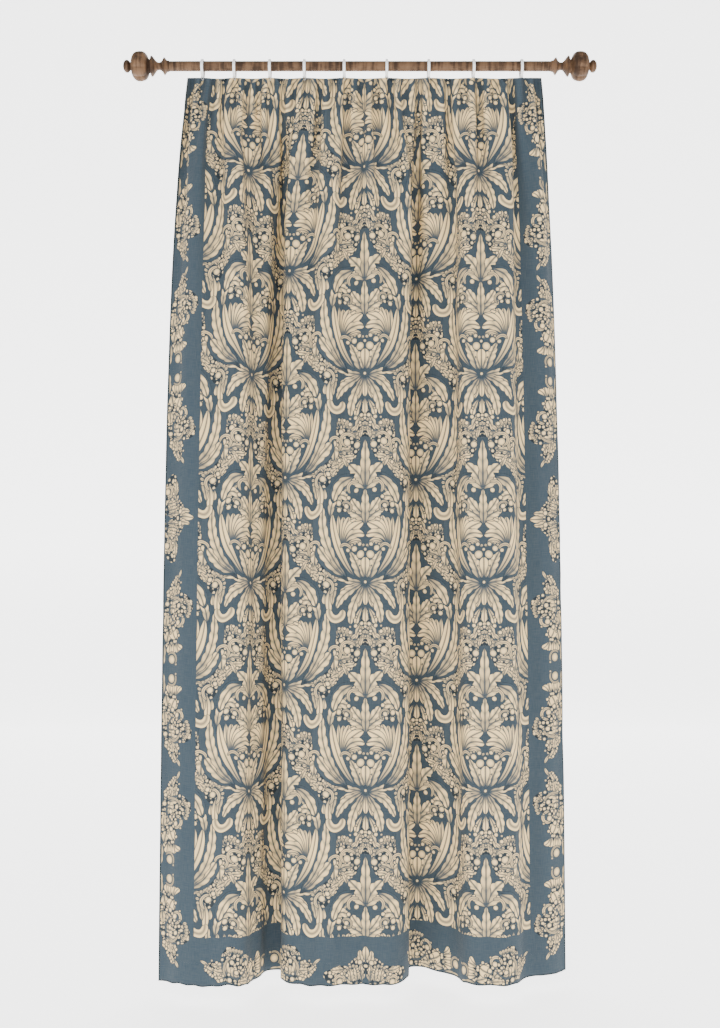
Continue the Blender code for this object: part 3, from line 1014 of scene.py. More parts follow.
class Print:
    """Tones of the print over one pair of coordinates in millimetres, shape over shape.

    parts keeps the node groups that are made, for the next print to use again.
    """

    def __init__(self, finish, x, y, tone, parts):
        self.finish = finish
        self.x = finish.triple("ShaderNodeCombineXYZ", inputs=(x, x, x))
        self.y = finish.triple("ShaderNodeCombineXYZ", inputs=(y, y, y))
        self.place = finish.triple("ShaderNodeCombineXYZ", inputs=(x, y, 1.0))
        self.tone = tone
        self.parts = parts

    def paint(self, chart):
        """Paint the layers of a chart in order."""
        for method, shapes in chart:
            getattr(self, method)(shapes)

    def lay(self, kind, make, inputs):
        """Add a part to the tree, made on its first use, and take its tone."""
        if kind not in self.parts:
            self.parts[kind] = make()
        inputs = {**inputs, "Tone": self.tone}
        self.tone = self.finish.node("ShaderNodeGroup", {"node_tree": self.parts[kind]}, inputs)

    def leaves(self, shapes):
        """Leaves, three at once, filled up with spare ones."""
        spare = Leaf(0, FAR_OFF, 9, FAR_OFF, 1, 0, 0, "leaf", 0)
        for batch in in_threes(shapes):
            batch = sorted(batch + [spare] * (3 - len(batch)), key=lambda leaf: leaf.shape)
            names, lobed = tuple(leaf.shape for leaf in batch), any(leaf.lobes for leaf in batch)
            inputs = {"X": self.x, "Y": self.y, **leaf_inputs(batch)}
            self.lay((names, lobed), lambda: leaf_part(names, lobed), inputs)

    def lumps(self, beds):
        """Beds filled with small round lumps, one in each cell of a loose grid.

        cover is the tone that the beds would have as leaves, made steep.
        """
        if not beds:
            return
        below = self.tone
        self.tone = 0.0
        self.leaves(beds)
        cover = self.tone.step(*BED_EDGE)
        settings = {"voronoi_dimensions": "2D"}
        inputs = {"Vector": self.place, "Scale": 1 / LUMP_SPACE, "Randomness": LUMP_DISORDER}
        cell = self.finish.node("ShaderNodeTexVoronoi", settings, inputs)
        lump = (1.0 - cell.step(*LUMP_EDGE)) * LUMP_TONE
        self.tone = below + cover * (lump - below)

    def berries(self, shapes):
        """Berries, three at once, filled up with spare ones."""
        for batch in in_threes(shapes):
            batch = batch + [Berry(0, FAR_OFF, 1, 0)] * (3 - len(batch))
            self.lay("berry", berry_part, {"X": self.x, "Y": self.y, **berry_inputs(batch)})

    def scrolls(self, shapes):
        for arc in shapes:
            inputs = {"Place": self.place, "Radius": arc.radius, "Open": arc.open}
            self.lay("scroll", scroll_part, {**inputs, **arc_inputs(arc)})

    def fans(self, shapes):
        for arc in shapes:
            inputs = {"Place": self.place, "Petal": 0.5 / arc.petals, "Inner": arc.inner,
                      "Reach": arc.outer - arc.inner}
            self.lay("fan", fan_part, {**inputs, **arc_inputs(arc)})


def tone_colours(settings):
    """Ramp of the print's tones: the outline's blue, the ground's, and on to the cream."""
    ground, cream = np.array(settings.ground), np.array(settings.cream)
    stops = [(0.0, tuple(settings.outline)), (BORDER_TONE, tuple(ground))]
    return stops + [(tone, tuple(ground + (cream - ground) * share))
                    for tone, share in CREAM_SHARES]


def field_zone(number):
    """Low and high corners of a zone of the folded field: two across, four up."""
    low = np.array([number % 2 * ZONE_WIDE, FIELD_LOW + number // 2 * ZONE_HIGH])
    return low, low + (ZONE_WIDE, ZONE_HIGH)


def zone_numbers(across, down):
    """The zone of each flat place: 0 to 7 in the field, and BORDER_ZONE."""
    column = np.round((across - AXIS_U) / COLUMN)
    half = np.abs(across - AXIS_U - column * COLUMN) > ZONE_WIDE
    y = (HEART_V + column % 2 * REPEAT / 2 - down - FIELD_LOW) % REPEAT
    field = half + 2 * np.floor(y / ZONE_HIGH)
    border = (np.minimum(across, CLOTH_WIDE - across) < FIELD_EDGE) | (down > FIELD_FOOT)
    return np.where(border, BORDER_ZONE, field).astype(int)


def zone_lines():
    """Places across and down where the zone changes."""
    steps = np.arange(-5, 6)
    across = np.concatenate([AXIS_U + (steps + 0.5) * COLUMN, AXIS_U + steps * COLUMN + ZONE_WIDE,
                             AXIS_U + steps * COLUMN - ZONE_WIDE])
    across = across[np.abs(across - AXIS_U) < CLOTH_WIDE / 2 - FIELD_EDGE]
    across = np.concatenate([across, [FIELD_EDGE, CLOTH_WIDE - FIELD_EDGE]])
    first = (HEART_V - FIELD_LOW) % ZONE_HIGH + ZONE_HIGH
    down = np.arange(first, FIELD_FOOT, ZONE_HIGH)
    return across, np.append(down, FIELD_FOOT)


def snapped(places, lines):
    """The places, with the one nearest to each line moved onto it."""
    places = np.array(places, dtype=float)
    places[np.abs(places[:, None] - lines).argmin(axis=0)] = lines
    return places


def field_print(cloth, across, down, zone, parts):
    """One zone of the field.

    Columns are mirrored on their axes, and every other one is half a repeat lower, so that all
    of the field folds onto one strip from an axis to the seam beside it.
    """
    column = (across - AXIS_U) / COLUMN
    x = column.math("PINGPONG", 0.5) * COLUMN
    odd = column.math("ROUND").math("PINGPONG", 1.0)
    y = odd.times_plus(REPEAT / 2, HEART_V - down).math("WRAP", FIELD_TOP, FIELD_LOW)
    low, high = field_zone(zone)
    low, high = low - FULL, high + FULL
    field = Print(cloth, x, y, FIELD_TONE, parts)
    field.paint([(method, [image for shape in shapes for image in repeats_of(shape, low, high)])
                 for method, shapes in FIELD_CHART])
    return field.tone


def border_print(cloth, across, down, parts):
    """The border: garlands between palmettes down the sides, and two along the foot."""
    from_side = across.math("MINIMUM", CLOTH_WIDE - across)
    side = from_side.math("LESS_THAN", FIELD_EDGE)
    from_foot = CLOTH_LONG - down
    edge = side.times_plus(from_side - from_foot, from_foot)
    upper, lower, foot = (abs(abs(along - turn.middle) - turn.reach) / turn.stretch
                          for along, turn in zip((down, down, across), GARLANDS))
    garland = Print(cloth, edge, side.times_plus(upper.math("MINIMUM", lower) - foot, foot),
                    BORDER_TONE, parts)
    garland.paint(GARLAND_CHART)
    middle = abs(across - AXIS_U)
    palmette = Print(cloth, edge, side.times_plus(abs(down - PALMETTE_V) - middle, middle),
                     garland.tone, parts)
    palmette.paint(PALMETTE_CHART)
    rim = from_side.math("MINIMUM", from_foot).step(RIM_LINE - SOFT, RIM_LINE)
    return palmette.tone * rim


# ---------------------------------------------------------------- sizes and colours a user sets

COLOUR = dict(subtype="COLOR", size=3, min=0.0, max=1.0)


class CURTAIN_ClothSettings(bpy.types.PropertyGroup):
    width: FloatProperty(name="Flat width", description="Width of the cloth as cut",
                         default=1.400, min=1.2, max=1.6, unit="LENGTH")
    drop: FloatProperty(name="Flat drop", description="Length of the cloth as cut",
                        default=2.300, min=2.0, max=2.5, unit="LENGTH")
    thickness: FloatProperty(name="Thickness", description="Thickness of one layer of cloth",
                             default=0.0011, min=0.0006, max=0.0030, unit="LENGTH")
    hem: FloatProperty(name="Hem", description="Depth of the hem at the foot",
                       default=0.060, min=0.02, max=0.12, unit="LENGTH")
    columns: IntProperty(name="Columns", description="Mesh columns across the cloth",
                         default=400, min=160, max=420)
    ground: FloatVectorProperty(name="Ground", description="Blue of the plain ground",
                                default=(0.037, 0.057, 0.075), **COLOUR)
    cream: FloatVectorProperty(name="Cream", description="Lightest colour of the leaves",
                               default=(0.950, 0.690, 0.330), **COLOUR)
    outline: FloatVectorProperty(name="Outline", description="Deep blue round the leaves",
                                 default=(0.013, 0.022, 0.030), **COLOUR)
    reverse: FloatVectorProperty(name="Reverse", description="Unprinted side of the cloth",
                                 default=(0.18, 0.19, 0.18), **COLOUR)


class CURTAIN_WoodSettings(bpy.types.PropertyGroup):
    light: FloatVectorProperty(name="Light wood", description="Wood between the grain lines",
                               default=(0.150, 0.082, 0.042), **COLOUR)
    dark: FloatVectorProperty(name="Dark wood", description="Wood of the grain lines",
                              default=(0.032, 0.016, 0.008), **COLOUR)


class CURTAIN_RingSettings(bpy.types.PropertyGroup):
    colour: FloatVectorProperty(name="Ring", description="Colour of the rings",
                                default=(0.95, 0.945, 0.94), **COLOUR)
    thread: FloatProperty(name="Thread", description="Thickness of the sewing thread",
                          default=0.0006, min=0.0003, max=0.0012, unit="LENGTH")


class CURTAIN_StageSettings(bpy.types.PropertyGroup):
    glow: FloatProperty(name="Glow", description="Light that floor and backdrop give out",
                        default=2.6, min=0.0, max=10.0)
    floor: FloatVectorProperty(name="Floor", description="Colour of floor and backdrop",
                               default=(0.95, 0.95, 0.945), **COLOUR)
    light: FloatProperty(name="Light", description="Strength of the soft front light",
                         default=60.0, min=0.0, max=500.0, unit="POWER")


# ---------------------------------------------------------------- cloth

GATHERED_DROP = 0.352        # the mesh rows lie close together down to here
GATHERED_ROWS, LOWER_ROWS = 45, 58
HEM_STEP = 0.004             # from the hem's fold to the rows beside it
FOOT_STEPS = (0.006, 0.0015, 0.0)      # from the foot's edge to the last rows
EDGE_EASE = 0.37             # how far the top edge is lowered, for each metre it comes forward
EDGE_FADE = 0.06             # drop over which that ends
CREASE_HEIGHT, CREASE_WIDTH = 0.0009, 0.093
CREASE_PATCH = (0.61, 1.7)   # creases come and go over these widths and drops
FINE_CREASE_SHARE, FINE_CREASE_WIDTH = 0.6, 0.061
DRAG_HEIGHT, DRAG_WIDTH, DRAG_DROP, DRAG_REACH = 0.00035, 0.0185, 0.07, 0.06
SIDE_TURNING, HEM_SOFT = 0.018, 0.002  # width of the side hems, and half that of their edges
HEADING_TURNING = (0.022, 0.026)       # where the heading's hem starts and ends to thin out
STITCH_PITCH, STITCH_LENGTH, STITCH_SINK = 0.0036, 0.0026, 0.35
STITCH_START = (0.020, 0.028)          # first stitches, from the side edges and the top edge
FOOT_LINE, SIDE_LINE, HEADING_LINE = 0.003, 0.0155, 0.0195     # rows, from fold and edges
STITCH_SHARE = 0.6           # of the thickness of the rings' thread
STEEP = 0.9                  # rise of a thread past which up can't guide its section
THREAD_TIP = 0.25            # size of a thread's cut end


def cloth_rows(drop, hem):
    """Drops of the mesh rows: close together in the heading, wider below, close at the hem."""
    heading = np.linspace(0, GATHERED_DROP, GATHERED_ROWS)
    fall = np.linspace(GATHERED_DROP, drop - hem - HEM_STEP, LOWER_ROWS)[1:]
    foot = [drop - hem, drop - hem + HEM_STEP, drop - hem / 2, *(drop - step for step in FOOT_STEPS)]
    return np.concatenate([heading, fall, foot])


def cloth_surface(settings):
    """Middle surface of the hanging cloth, with its flat places u and v.

    The top edge is eased down where it comes forward, by ease y e^(-(v / fade)^2). Soft
    creases are added along the normals: 0.9 mm sines of u that wander with v, and shallow
    drag lines that fan out below the heading.
    """
    across, down = zone_lines()
    v = snapped(cloth_rows(settings.drop, settings.hem), down / MM)
    u = snapped(np.linspace(0, settings.width, settings.columns + 1), across / MM)
    grid = hung_cloth(settings.width, u, v)
    normals = room_normals(grid)
    u = u[None, :]
    v = v[:, None]
    grid[..., 2] += EDGE_EASE * grid[:1, :, 1] * np.exp(-(v / EDGE_FADE) ** 2)
    wander = 0.045 * np.sin(2 * np.pi * v / 1.30 + 7 * u) + 0.02 * np.sin(9.1 * v + 3 * u)
    patches = np.sin(2 * np.pi * (u / CREASE_PATCH[0] + v / CREASE_PATCH[1]))
    fine = np.sin(2 * np.pi * (u - 1.4 * wander) / FINE_CREASE_WIDTH + 5 * v)
    crease = (np.sin(2 * np.pi * (u + wander) / CREASE_WIDTH) * patches
              + FINE_CREASE_SHARE * fine)
    drag = (np.sin(2 * np.pi * u / DRAG_WIDTH + 9 * np.sin(4 * u))
            * np.exp(-((v - DRAG_DROP) / DRAG_REACH) ** 2))
    free = smooth_share(v, 0.01, 0.10)
    height = CREASE_HEIGHT * crease * free + DRAG_HEIGHT * drag * smooth_share(v, 0.0, 0.03)
    grid = grid + normals * height[..., None]
    return grid, u, v


def hem_share(u, v, settings):
    """1 in the turned hems: foot, both sides and heading, with smooth edges 4 mm wide."""
    fold = settings.drop - settings.hem
    from_side = np.minimum(u, settings.width - u)
    foot = smooth_share(v, fold - HEM_SOFT, fold + HEM_SOFT)
    sides = 1 - smooth_share(from_side, SIDE_TURNING - HEM_SOFT, SIDE_TURNING + HEM_SOFT)
    heading = 1 - smooth_share(v, *HEADING_TURNING)
    return np.maximum(np.maximum(foot, sides), heading)


def cloth_sides(settings):
    """Room side and wall side of the cloth, its normals, and its flat places u and v.

    Each side lies along the normals from the middle surface: half a layer towards the room,
    and half a layer, or one and a half in the hems, towards the wall.
    """
    grid, u, v = cloth_surface(settings)
    normals = room_normals(grid)
    half = settings.thickness / 2
    back = half + settings.thickness * hem_share(u, v, settings)
    return grid + normals * half, grid - normals * back[..., None], normals, u, v


def make_cloth(settings):
    """The curtain: a thin closed sheet, its hems one more layer thick on the wall side."""
    room_side, wall_side, _, u, v = cloth_sides(settings)
    rows, columns = room_side.shape[:2]
    count = rows * columns
    top = np.arange(columns)
    right = np.arange(1, rows) * columns + columns - 1
    foot = (rows - 1) * columns + np.arange(columns - 2, -1, -1)
    left = np.arange(rows - 2, 0, -1) * columns
    rim = np.concatenate([top, right, foot, left])
    ahead = np.roll(rim, -1)
    skin = grid_faces(rows, columns)
    edge = np.stack([rim, ahead, ahead + count, rim + count], axis=-1)
    cloth = build_piece("damask_cloth", np.stack([room_side, wall_side]),
                        [skin, skin[:, ::-1] + count, edge], ["curtain_panel"])
    flat = np.stack(np.broadcast_arrays(u, v), axis=-1).reshape(-1, 2)
    set_uv(cloth, "flat_cloth", np.concatenate([flat, flat]))
    set_point_values(cloth, "reverse_side", np.repeat([0.0, 1.0], count))
    cloth.data.set_sharp_from_angle(angle=CLOTH_EDGE)
    return cloth


def thread_tube(paths, radius, sides=6, closed=False):
    """Tubes round many paths at once: paths is paths x points x 3.

    Each section is point + radius (cos a side + sin a up), side and up being square to the
    path. Open tubes narrow to a small flat end.
    """
    ahead = np.roll(paths, -1, axis=1) - np.roll(paths, 1, axis=1)
    if not closed:
        ahead[:, 0] = paths[:, 1] - paths[:, 0]
        ahead[:, -1] = paths[:, -1] - paths[:, -2]
    ahead /= np.linalg.norm(ahead, axis=-1, keepdims=True)
    guide = np.where(np.abs(ahead[..., 2:]) > STEEP, [[[0.0, 1.0, 0.0]]], [[[0.0, 0.0, 1.0]]])
    side = np.cross(ahead, guide)
    side /= np.linalg.norm(side, axis=-1, keepdims=True)
    up = np.cross(side, ahead)
    angle = np.arange(sides) * 2 * np.pi / sides
    points = paths.shape[1]
    width = np.full(points, radius)
    if not closed:
        width[[0, -1]] = radius * THREAD_TIP
    ring = (side[:, :, None] * np.cos(angle)[None, None, :, None]
            + up[:, :, None] * np.sin(angle)[None, None, :, None])
    vertices = paths[:, :, None] + ring * width[None, :, None, None]
    one = grid_faces(points, sides, wrap_rows=closed, wrap_columns=True)
    offsets = np.arange(len(paths)) * points * sides
    faces = [(one[None] + offsets[:, None, None]).reshape(-1, 4)]
    if not closed:
        around = np.arange(sides)
        caps = np.stack([around[::-1], (points - 1) * sides + around])
        faces.append((caps[None] + offsets[:, None, None]).reshape(-1, sides))
    return vertices.reshape(-1, 3), faces


def cloth_places(grid, u, v, settings, row_places):
    """Places on a grid surface at flat places u, v, by linear interpolation."""
    column = np.clip(u / settings.width * (grid.shape[1] - 1), 0, grid.shape[1] - 1.001)
    row = np.interp(v, row_places, np.arange(len(row_places)))
    row = np.clip(row, 0, grid.shape[0] - 1.001)
    r, c = row.astype(int), column.astype(int)
    a, b = (row - r)[..., None], (column - c)[..., None]
    top = grid[r, c] * (1 - b) + grid[r, c + 1] * b
    foot = grid[r + 1, c] * (1 - b) + grid[r + 1, c + 1] * b
    return top * (1 - a) + foot * a


def stitch_rows(settings, s):
    """Flat places u, v along every stitch, at shares s: foot, left, right and heading rows."""
    start_u, start_v = STITCH_START
    fold = settings.drop - settings.hem
    across = np.arange(start_u, settings.width - start_u, STITCH_PITCH)[:, None] + STITCH_LENGTH * s
    down = np.arange(start_v, fold, STITCH_PITCH)[:, None] + STITCH_LENGTH * s
    left, right = SIDE_LINE, settings.width - SIDE_LINE
    u = [across, np.full_like(down, left), np.full_like(down, right), across]
    v = [np.full_like(across, fold + FOOT_LINE), down, down, np.full_like(across, HEADING_LINE)]
    return np.concatenate(u), np.concatenate(v)


def make_hem_stitches(settings, thread):
    """Rows of stitches that hold the hems, on both sides of the cloth.

    A stitch is a short arc: it leaves the cloth, runs 2.6 mm in the row's direction and goes
    back in, height = thread (sin(pi s) - sink).
    """
    room_side, wall_side, normals, _, v = cloth_sides(settings)
    s = np.linspace(0, 1, 4)
    stitch_u, stitch_v = stitch_rows(settings, s)
    room, wall, normal = (cloth_places(grid, stitch_u, stitch_v, settings, v[:, 0])
                          for grid in (room_side, wall_side, normals))
    lift = normal * (thread * (np.sin(np.pi * s) - STITCH_SINK)[None, :, None])
    vertices, faces = thread_tube(np.concatenate([room + lift, wall - lift]), thread / 2, sides=4)
    return build_piece("hem_stitches", vertices, faces)


# ---------------------------------------------------------------- rings and their threads

RING_SIDES, BAND_SIDES = 72, 24
LOOP_POINTS = 20
LOOP_DEPTH = 0.0060          # how far the loops reach into the cloth
LOOP_CLEAR = 0.6             # gap from ring to loop, in thicknesses of the thread
LOOP_NARROWING = 0.86        # how much narrower a loop is at its foot
LOOP_SPREAD = np.array([-0.0012, -0.0004, 0.0004, 0.0012])


def signed_power(value, power):
    """sgn(value) |value|^power, which squares up the round of a sine or a cosine."""
    return np.sign(value) * np.abs(value) ** power


def make_ring(number):
    """A ring: the rounded band section turned round X at the ring's place.

    Section: across = half band sgn(cos) |cos|^(1/2), out = half wall sgn(sin) |sin|^(1/2).
    """
    angle = (np.arange(RING_SIDES) * 2 * np.pi / RING_SIDES)[:, None]
    turn = (np.arange(BAND_SIDES) * 2 * np.pi / BAND_SIDES)[None, :]
    wall = (RING_OUTER - RING_INNER) / 2
    x = RING_PLACES[number - 1] + RING_BAND / 2 * signed_power(np.cos(turn), 0.5)
    out = RING_INNER + wall + wall * signed_power(np.sin(turn), 0.5)
    vertices = np.stack(np.broadcast_arrays(x, -out * np.sin(angle),
                                            RING_HANG + out * np.cos(angle)), axis=-1)
    faces = [grid_faces(RING_SIDES, BAND_SIDES, wrap_rows=True, wrap_columns=True)]
    return build_piece(f"curtain_ring_{number}", vertices, faces, [f"ring_{number}"])


def make_ring_threads(thread):
    """Threads that sew each ring to the heading: four closed loops round its lowest point.

    A loop runs over the band and narrows towards its foot in the cloth below:
    x = half (1 - narrowing depth) cos a, z from the band's inside down to 6 mm below the top
    edge, with the sine and the cosine squared up.
    """
    turn = np.arange(LOOP_POINTS) * 2 * np.pi / LOOP_POINTS
    bottom = RING_HANG - RING_OUTER
    top = RING_HANG - RING_INNER + thread * LOOP_CLEAR
    low = bottom - FIT_GAP - LOOP_DEPTH
    z = (top + low) / 2 + (top - low) / 2 * signed_power(np.sin(turn), 0.6)
    depth = np.clip((bottom - z) / (bottom - low), 0, 1)
    half = RING_BAND / 2 + thread * LOOP_CLEAR
    wide = half * signed_power(np.cos(turn), 0.35) * (1 - LOOP_NARROWING * depth)
    spread = LOOP_SPREAD[None, :, None]
    x = RING_PLACES[:, None, None] + wide[None, None, :] + spread * 0.5
    y = spread * (1.0 + 0.4 * depth[None, None, :])
    paths = np.stack(np.broadcast_arrays(x, y, z[None, None, :]), axis=-1)
    vertices, faces = thread_tube(paths.reshape(-1, LOOP_POINTS, 3), thread / 2, closed=True)
    return build_piece("ring_threads", vertices, faces)


# ---------------------------------------------------------------- rod and finials

# Places along the finial from the rod, and radii there, in millimetres.
TurnedForm = namedtuple("TurnedForm", "name points")
FINIAL_FORMS = (
    TurnedForm("collar", ((0.0, 12.9), (0.9, 13.8), (2.2, 14.1), (3.6, 13.6))),
    TurnedForm("small_bead_rise", ((3.6, 13.6), (6.2, 15.2), (9.0, 18.8), (11.2, 21.4))),
    TurnedForm("small_bead_edge", ((11.2, 21.4), (11.9, 21.9), (12.7, 21.4))),
    TurnedForm("neck", ((12.7, 21.4), (15.4, 17.0), (18.2, 13.0), (22.0, 10.2), (26.0, 9.4),
                        (30.0, 10.4), (33.6, 13.4), (37.0, 17.8), (40.6, 22.6), (43.2, 25.2))),
    TurnedForm("large_bead_edge", ((43.2, 25.2), (44.2, 25.7), (45.3, 25.3), (46.0, 24.2))),
    TurnedForm("groove", ((46.0, 24.2), (46.6, 19.4), (48.0, 16.8), (49.6, 16.6), (50.6, 18.0))),
)
MELON_START, MELON_LENGTH, MELON_POINTS = 0.0505, 0.0475, 44
MELON_SEAT = 0.0172          # radius at which the melon leaves the groove
MELON_SQUARENESS = 2.35      # 2 for an ellipse, more for a fuller one
MELON_LOBES, MELON_GROOVE, MELON_CREST = 8, 0.12, 0.8
BUTTON_RADIUS, BUTTON_NECK, BUTTON_POINTS = 0.0158, 0.0105, 21
BUTTON_TIP = 0.0006
NECK_PLACES, NECK_WAIST = (0.0003, 0.0012, 0.0018), 0.94   # between melon and button
FINIAL_SIDES, ROD_SIDES, ROD_POINTS = 96, 64, 140
ROD_WANDER = 0.00004
ROD_EASE = np.array([[0.0, 0.0009], [0.0002, 0.0004], [0.0006, 0.0001]])   # inwards, and down
ROD_PLAIN = 0.0012           # from each end of the rod to where it is plain


def smooth_line(points, per_span):
    """Catmull-Rom curve through points, its ends repeated: per_span places in each span."""
    points = np.array(points, dtype=float)
    padded = np.concatenate([points[:1] * 2 - points[1:2], points, points[-1:] * 2 - points[-2:-1]])
    t = (np.arange(per_span) / per_span)[None, :, None]
    p0, p1, p2, p3 = (padded[k:k + len(points) - 1, None] for k in range(4))
    line = 0.5 * (2 * p1 + (p2 - p0) * t + (2 * p0 - 5 * p1 + 4 * p2 - p3) * t ** 2
                  + (3 * p1 - p0 - 3 * p2 + p3) * t ** 3)
    return np.concatenate([line.reshape(-1, points.shape[1]), points[-1:]])


def finial_profile():
    """Profile from the rod outwards: turned forms, the melon's fuller ellipse, the button.

    Melon: along = -cos(pi s), radius = (1 - |along|^n)^(1/n). Button: half an ellipse.
    """
    forms = np.concatenate([smooth_line(form.points, 5)[:-1] for form in FINIAL_FORMS]) / MM
    share = (np.arange(MELON_POINTS) + 0.5) / MELON_POINTS
    along = -np.cos(np.pi * share)
    radius = (1 - np.abs(along) ** MELON_SQUARENESS) ** (1 / MELON_SQUARENESS)
    melon = np.stack([MELON_START + MELON_LENGTH * (1 + along) / 2, MELON_RADIUS * radius], 1)
    seated = (melon[:, 1] > MELON_SEAT) | (along > 0)
    melon = melon[seated & ((melon[:, 1] > BUTTON_NECK) | (along < 0))]
    start = MELON_START + MELON_LENGTH
    angle = np.pi * (0.20 + 0.78 * np.arange(BUTTON_POINTS) / (BUTTON_POINTS - 1))
    button = np.stack([start + (FINIAL_LENGTH - start) * (1 - np.cos(angle)) / 2,
                       BUTTON_RADIUS * np.sin(angle)], 1)
    neck = [[start + NECK_PLACES[0], BUTTON_NECK], [start + NECK_PLACES[1], BUTTON_NECK * NECK_WAIST]]
    button = button[button[:, 0] > start + NECK_PLACES[2]]
    return np.concatenate([forms, melon, neck, button, [[FINIAL_LENGTH, BUTTON_TIP]]])


def melon_lobes(along, angle):
    """Share of the radius left: 1 - groove sin(pi s)^crest (1 - |cos(lobes a / 2)|^crest)."""
    share = np.clip((along - MELON_START) / MELON_LENGTH, 0, 1)
    groove = MELON_GROOVE * (1 - np.abs(np.cos(MELON_LOBES / 2 * angle)) ** MELON_CREST)
    return 1 - groove * np.sin(np.pi * share) ** MELON_CREST


def make_finial(side):
    """A finial, side -1 for the left one: its profile turned round the rod's axis."""
    name = "finial_left" if side < 0 else "finial_right"
    return turned_piece(f"turned_{name}", finial_profile(), FINIAL_SIDES, [name],
                        place=side * (ROD_HALF + FIT_GAP), facing=side, lobes=melon_lobes)


def make_rod():
    """The rod: a turned bar whose radius wanders, less wander (1 + sin sin), its ends eased."""
    along = np.linspace(-ROD_HALF + ROD_PLAIN, ROD_HALF - ROD_PLAIN, ROD_POINTS)
    radius = ROD_RADIUS - ROD_WANDER * (1 + np.sin(41 * along) * np.sin(17 * along + 1))
    body = np.stack([along, radius], 1)
    first = np.array([-ROD_HALF, ROD_RADIUS]) + ROD_EASE * (1, -1)
    last = np.array([ROD_HALF, ROD_RADIUS]) - ROD_EASE[::-1]
    return turned_piece("turned_rod", np.concatenate([first, body, last]), ROD_SIDES,
                        ["rod"], place=0.0)


# ---------------------------------------------------------------- finishes

# grey of the painted shade on the rings, laid on as random mottle and streaks
RING_PAINTED_SHADE = (0.66, 0.64, 0.62)
SLUB_TINT = (0.20, 0.19, 0.16)
WHITE_THREAD = (0.80, 0.79, 0.76)
BLUE_THREAD_SHARE = 1.25     # how light the hems' thread is beside the ground
PLY_TURNS = 5200.0           # radians of the thread's ply in each metre
YARN = 0.0007                # from one yarn of the cloth to the next
SLUB_SCALE, SLUB_LENGTH = 650.0, 16.0
REVERSE_COVER = 0.60         # how much of the print the reverse side loses


def wood_finish(settings):
    """Brown turned wood: bands round the piece, fine pores along it, and darker worn lows."""
    wood = Finish("turned_wood", Specular_IOR_Level=0.2)
    bands = wood.noise(wood.place((1.0, 0.12, 0.12)), 70.0, 4.0, 0.68, 0.25)
    pores = wood.noise(wood.place((0.06, 1.0, 1.0)), 1300.0, 3.0, 0.6)
    clouds = wood.noise(wood.place(), 26.0, 2.0)
    grain = bands * 0.62 + clouds * 0.30 + pores * 0.20
    share = grain.step(0.46, 0.66)
    wood.feed("Base Color", wood.mix(share, settings.dark, settings.light))
    wood.feed("Roughness", 0.62 - share * 0.14)
    wood.bump(bands * 0.4 + pores * 0.6, 0.0004, 0.35)
    return wood


def ring_finish(settings):
    """Satin white ring: faint random grey mottle and streaks painted on as slight shade; the streaks
    also roughen and raise it like scuffs.
    """
    ring = Finish("white_ring", Specular_IOR_Level=0.45)
    mottle = ring.noise(ring.place(), 160.0, 3.0)
    scuffs_and_shade = ring.noise(ring.place((1.0, 6.0, 6.0)), 90.0, 4.0, 0.7).step(0.56, 0.72)
    # painted shade: the mottle and streaks grey the white a little, standing in for the rings' slight
    # shading
    shade = mottle * 0.10 + scuffs_and_shade * 0.12
    ring.feed("Base Color", ring.mix(shade, settings.colour, RING_PAINTED_SHADE))
    ring.feed("Roughness", 0.34 + scuffs_and_shade * 0.22)
    ring.bump(mottle + scuffs_and_shade, 0.0002, 0.2)
    return ring


def thread_finish(name, colour):
    """Twisted sewing thread: fine slanting ply bands, with painted shade in the grooves where their
    bump sinks.
    """
    thread = Finish(name, Specular_IOR_Level=0.3, Sheen_Weight=0.3, Sheen_Roughness=0.5)
    x, y, z = thread.axes(thread.place())
    ply = ((x + y + z) * PLY_TURNS).math("SINE") * 0.5 + 0.5
    fuzz = thread.noise(thread.place(), 2600.0, 2.0)
    share = ply * 0.55 + fuzz * 0.45
    # painted shade: the grooves between the plies darken to 0.55 of the thread's colour
    dark = tuple(0.55 * part for part in colour)
    thread.feed("Base Color", thread.mix(share, dark, colour))
    thread.feed("Roughness", 0.72 + fuzz * 0.12)
    thread.bump(ply, 0.0002, 0.5)
    return thread


def stage_finish(settings):
    """Matt pale paint with the faintest mottle."""
    paint = Finish("stage_paint", Specular_IOR_Level=0.1, Emission_Strength=settings.glow,
                   Emission_Color=(1.0, 1.0, 1.0, 1.0))
    mottle = paint.noise(paint.place(), 2.2, 3.0)
    floor = settings.floor
    paint.feed("Base Color", paint.mix(mottle, tuple(0.985 * part for part in floor), floor))
    paint.feed("Roughness", 0.9 + mottle * 0.05)
    return paint


def weave(cloth, u, v):
    """Plain weave, sin a sin b, and its slubs: thicker runs of yarn across and down."""
    knots = (u * (np.pi / YARN)).math("SINE") * (v * (np.pi / YARN)).math("SINE")
    warp = cloth.triple("ShaderNodeCombineXYZ", inputs=(u, v / SLUB_LENGTH, 0.0))
    weft = cloth.triple("ShaderNodeCombineXYZ", inputs=(u / SLUB_LENGTH, v, 0.0))
    slubs = cloth.noise(warp, SLUB_SCALE, 2.0) + cloth.noise(weft, SLUB_SCALE, 2.0)
    return knots, (slubs - 1.0).step(-0.25, 0.25)


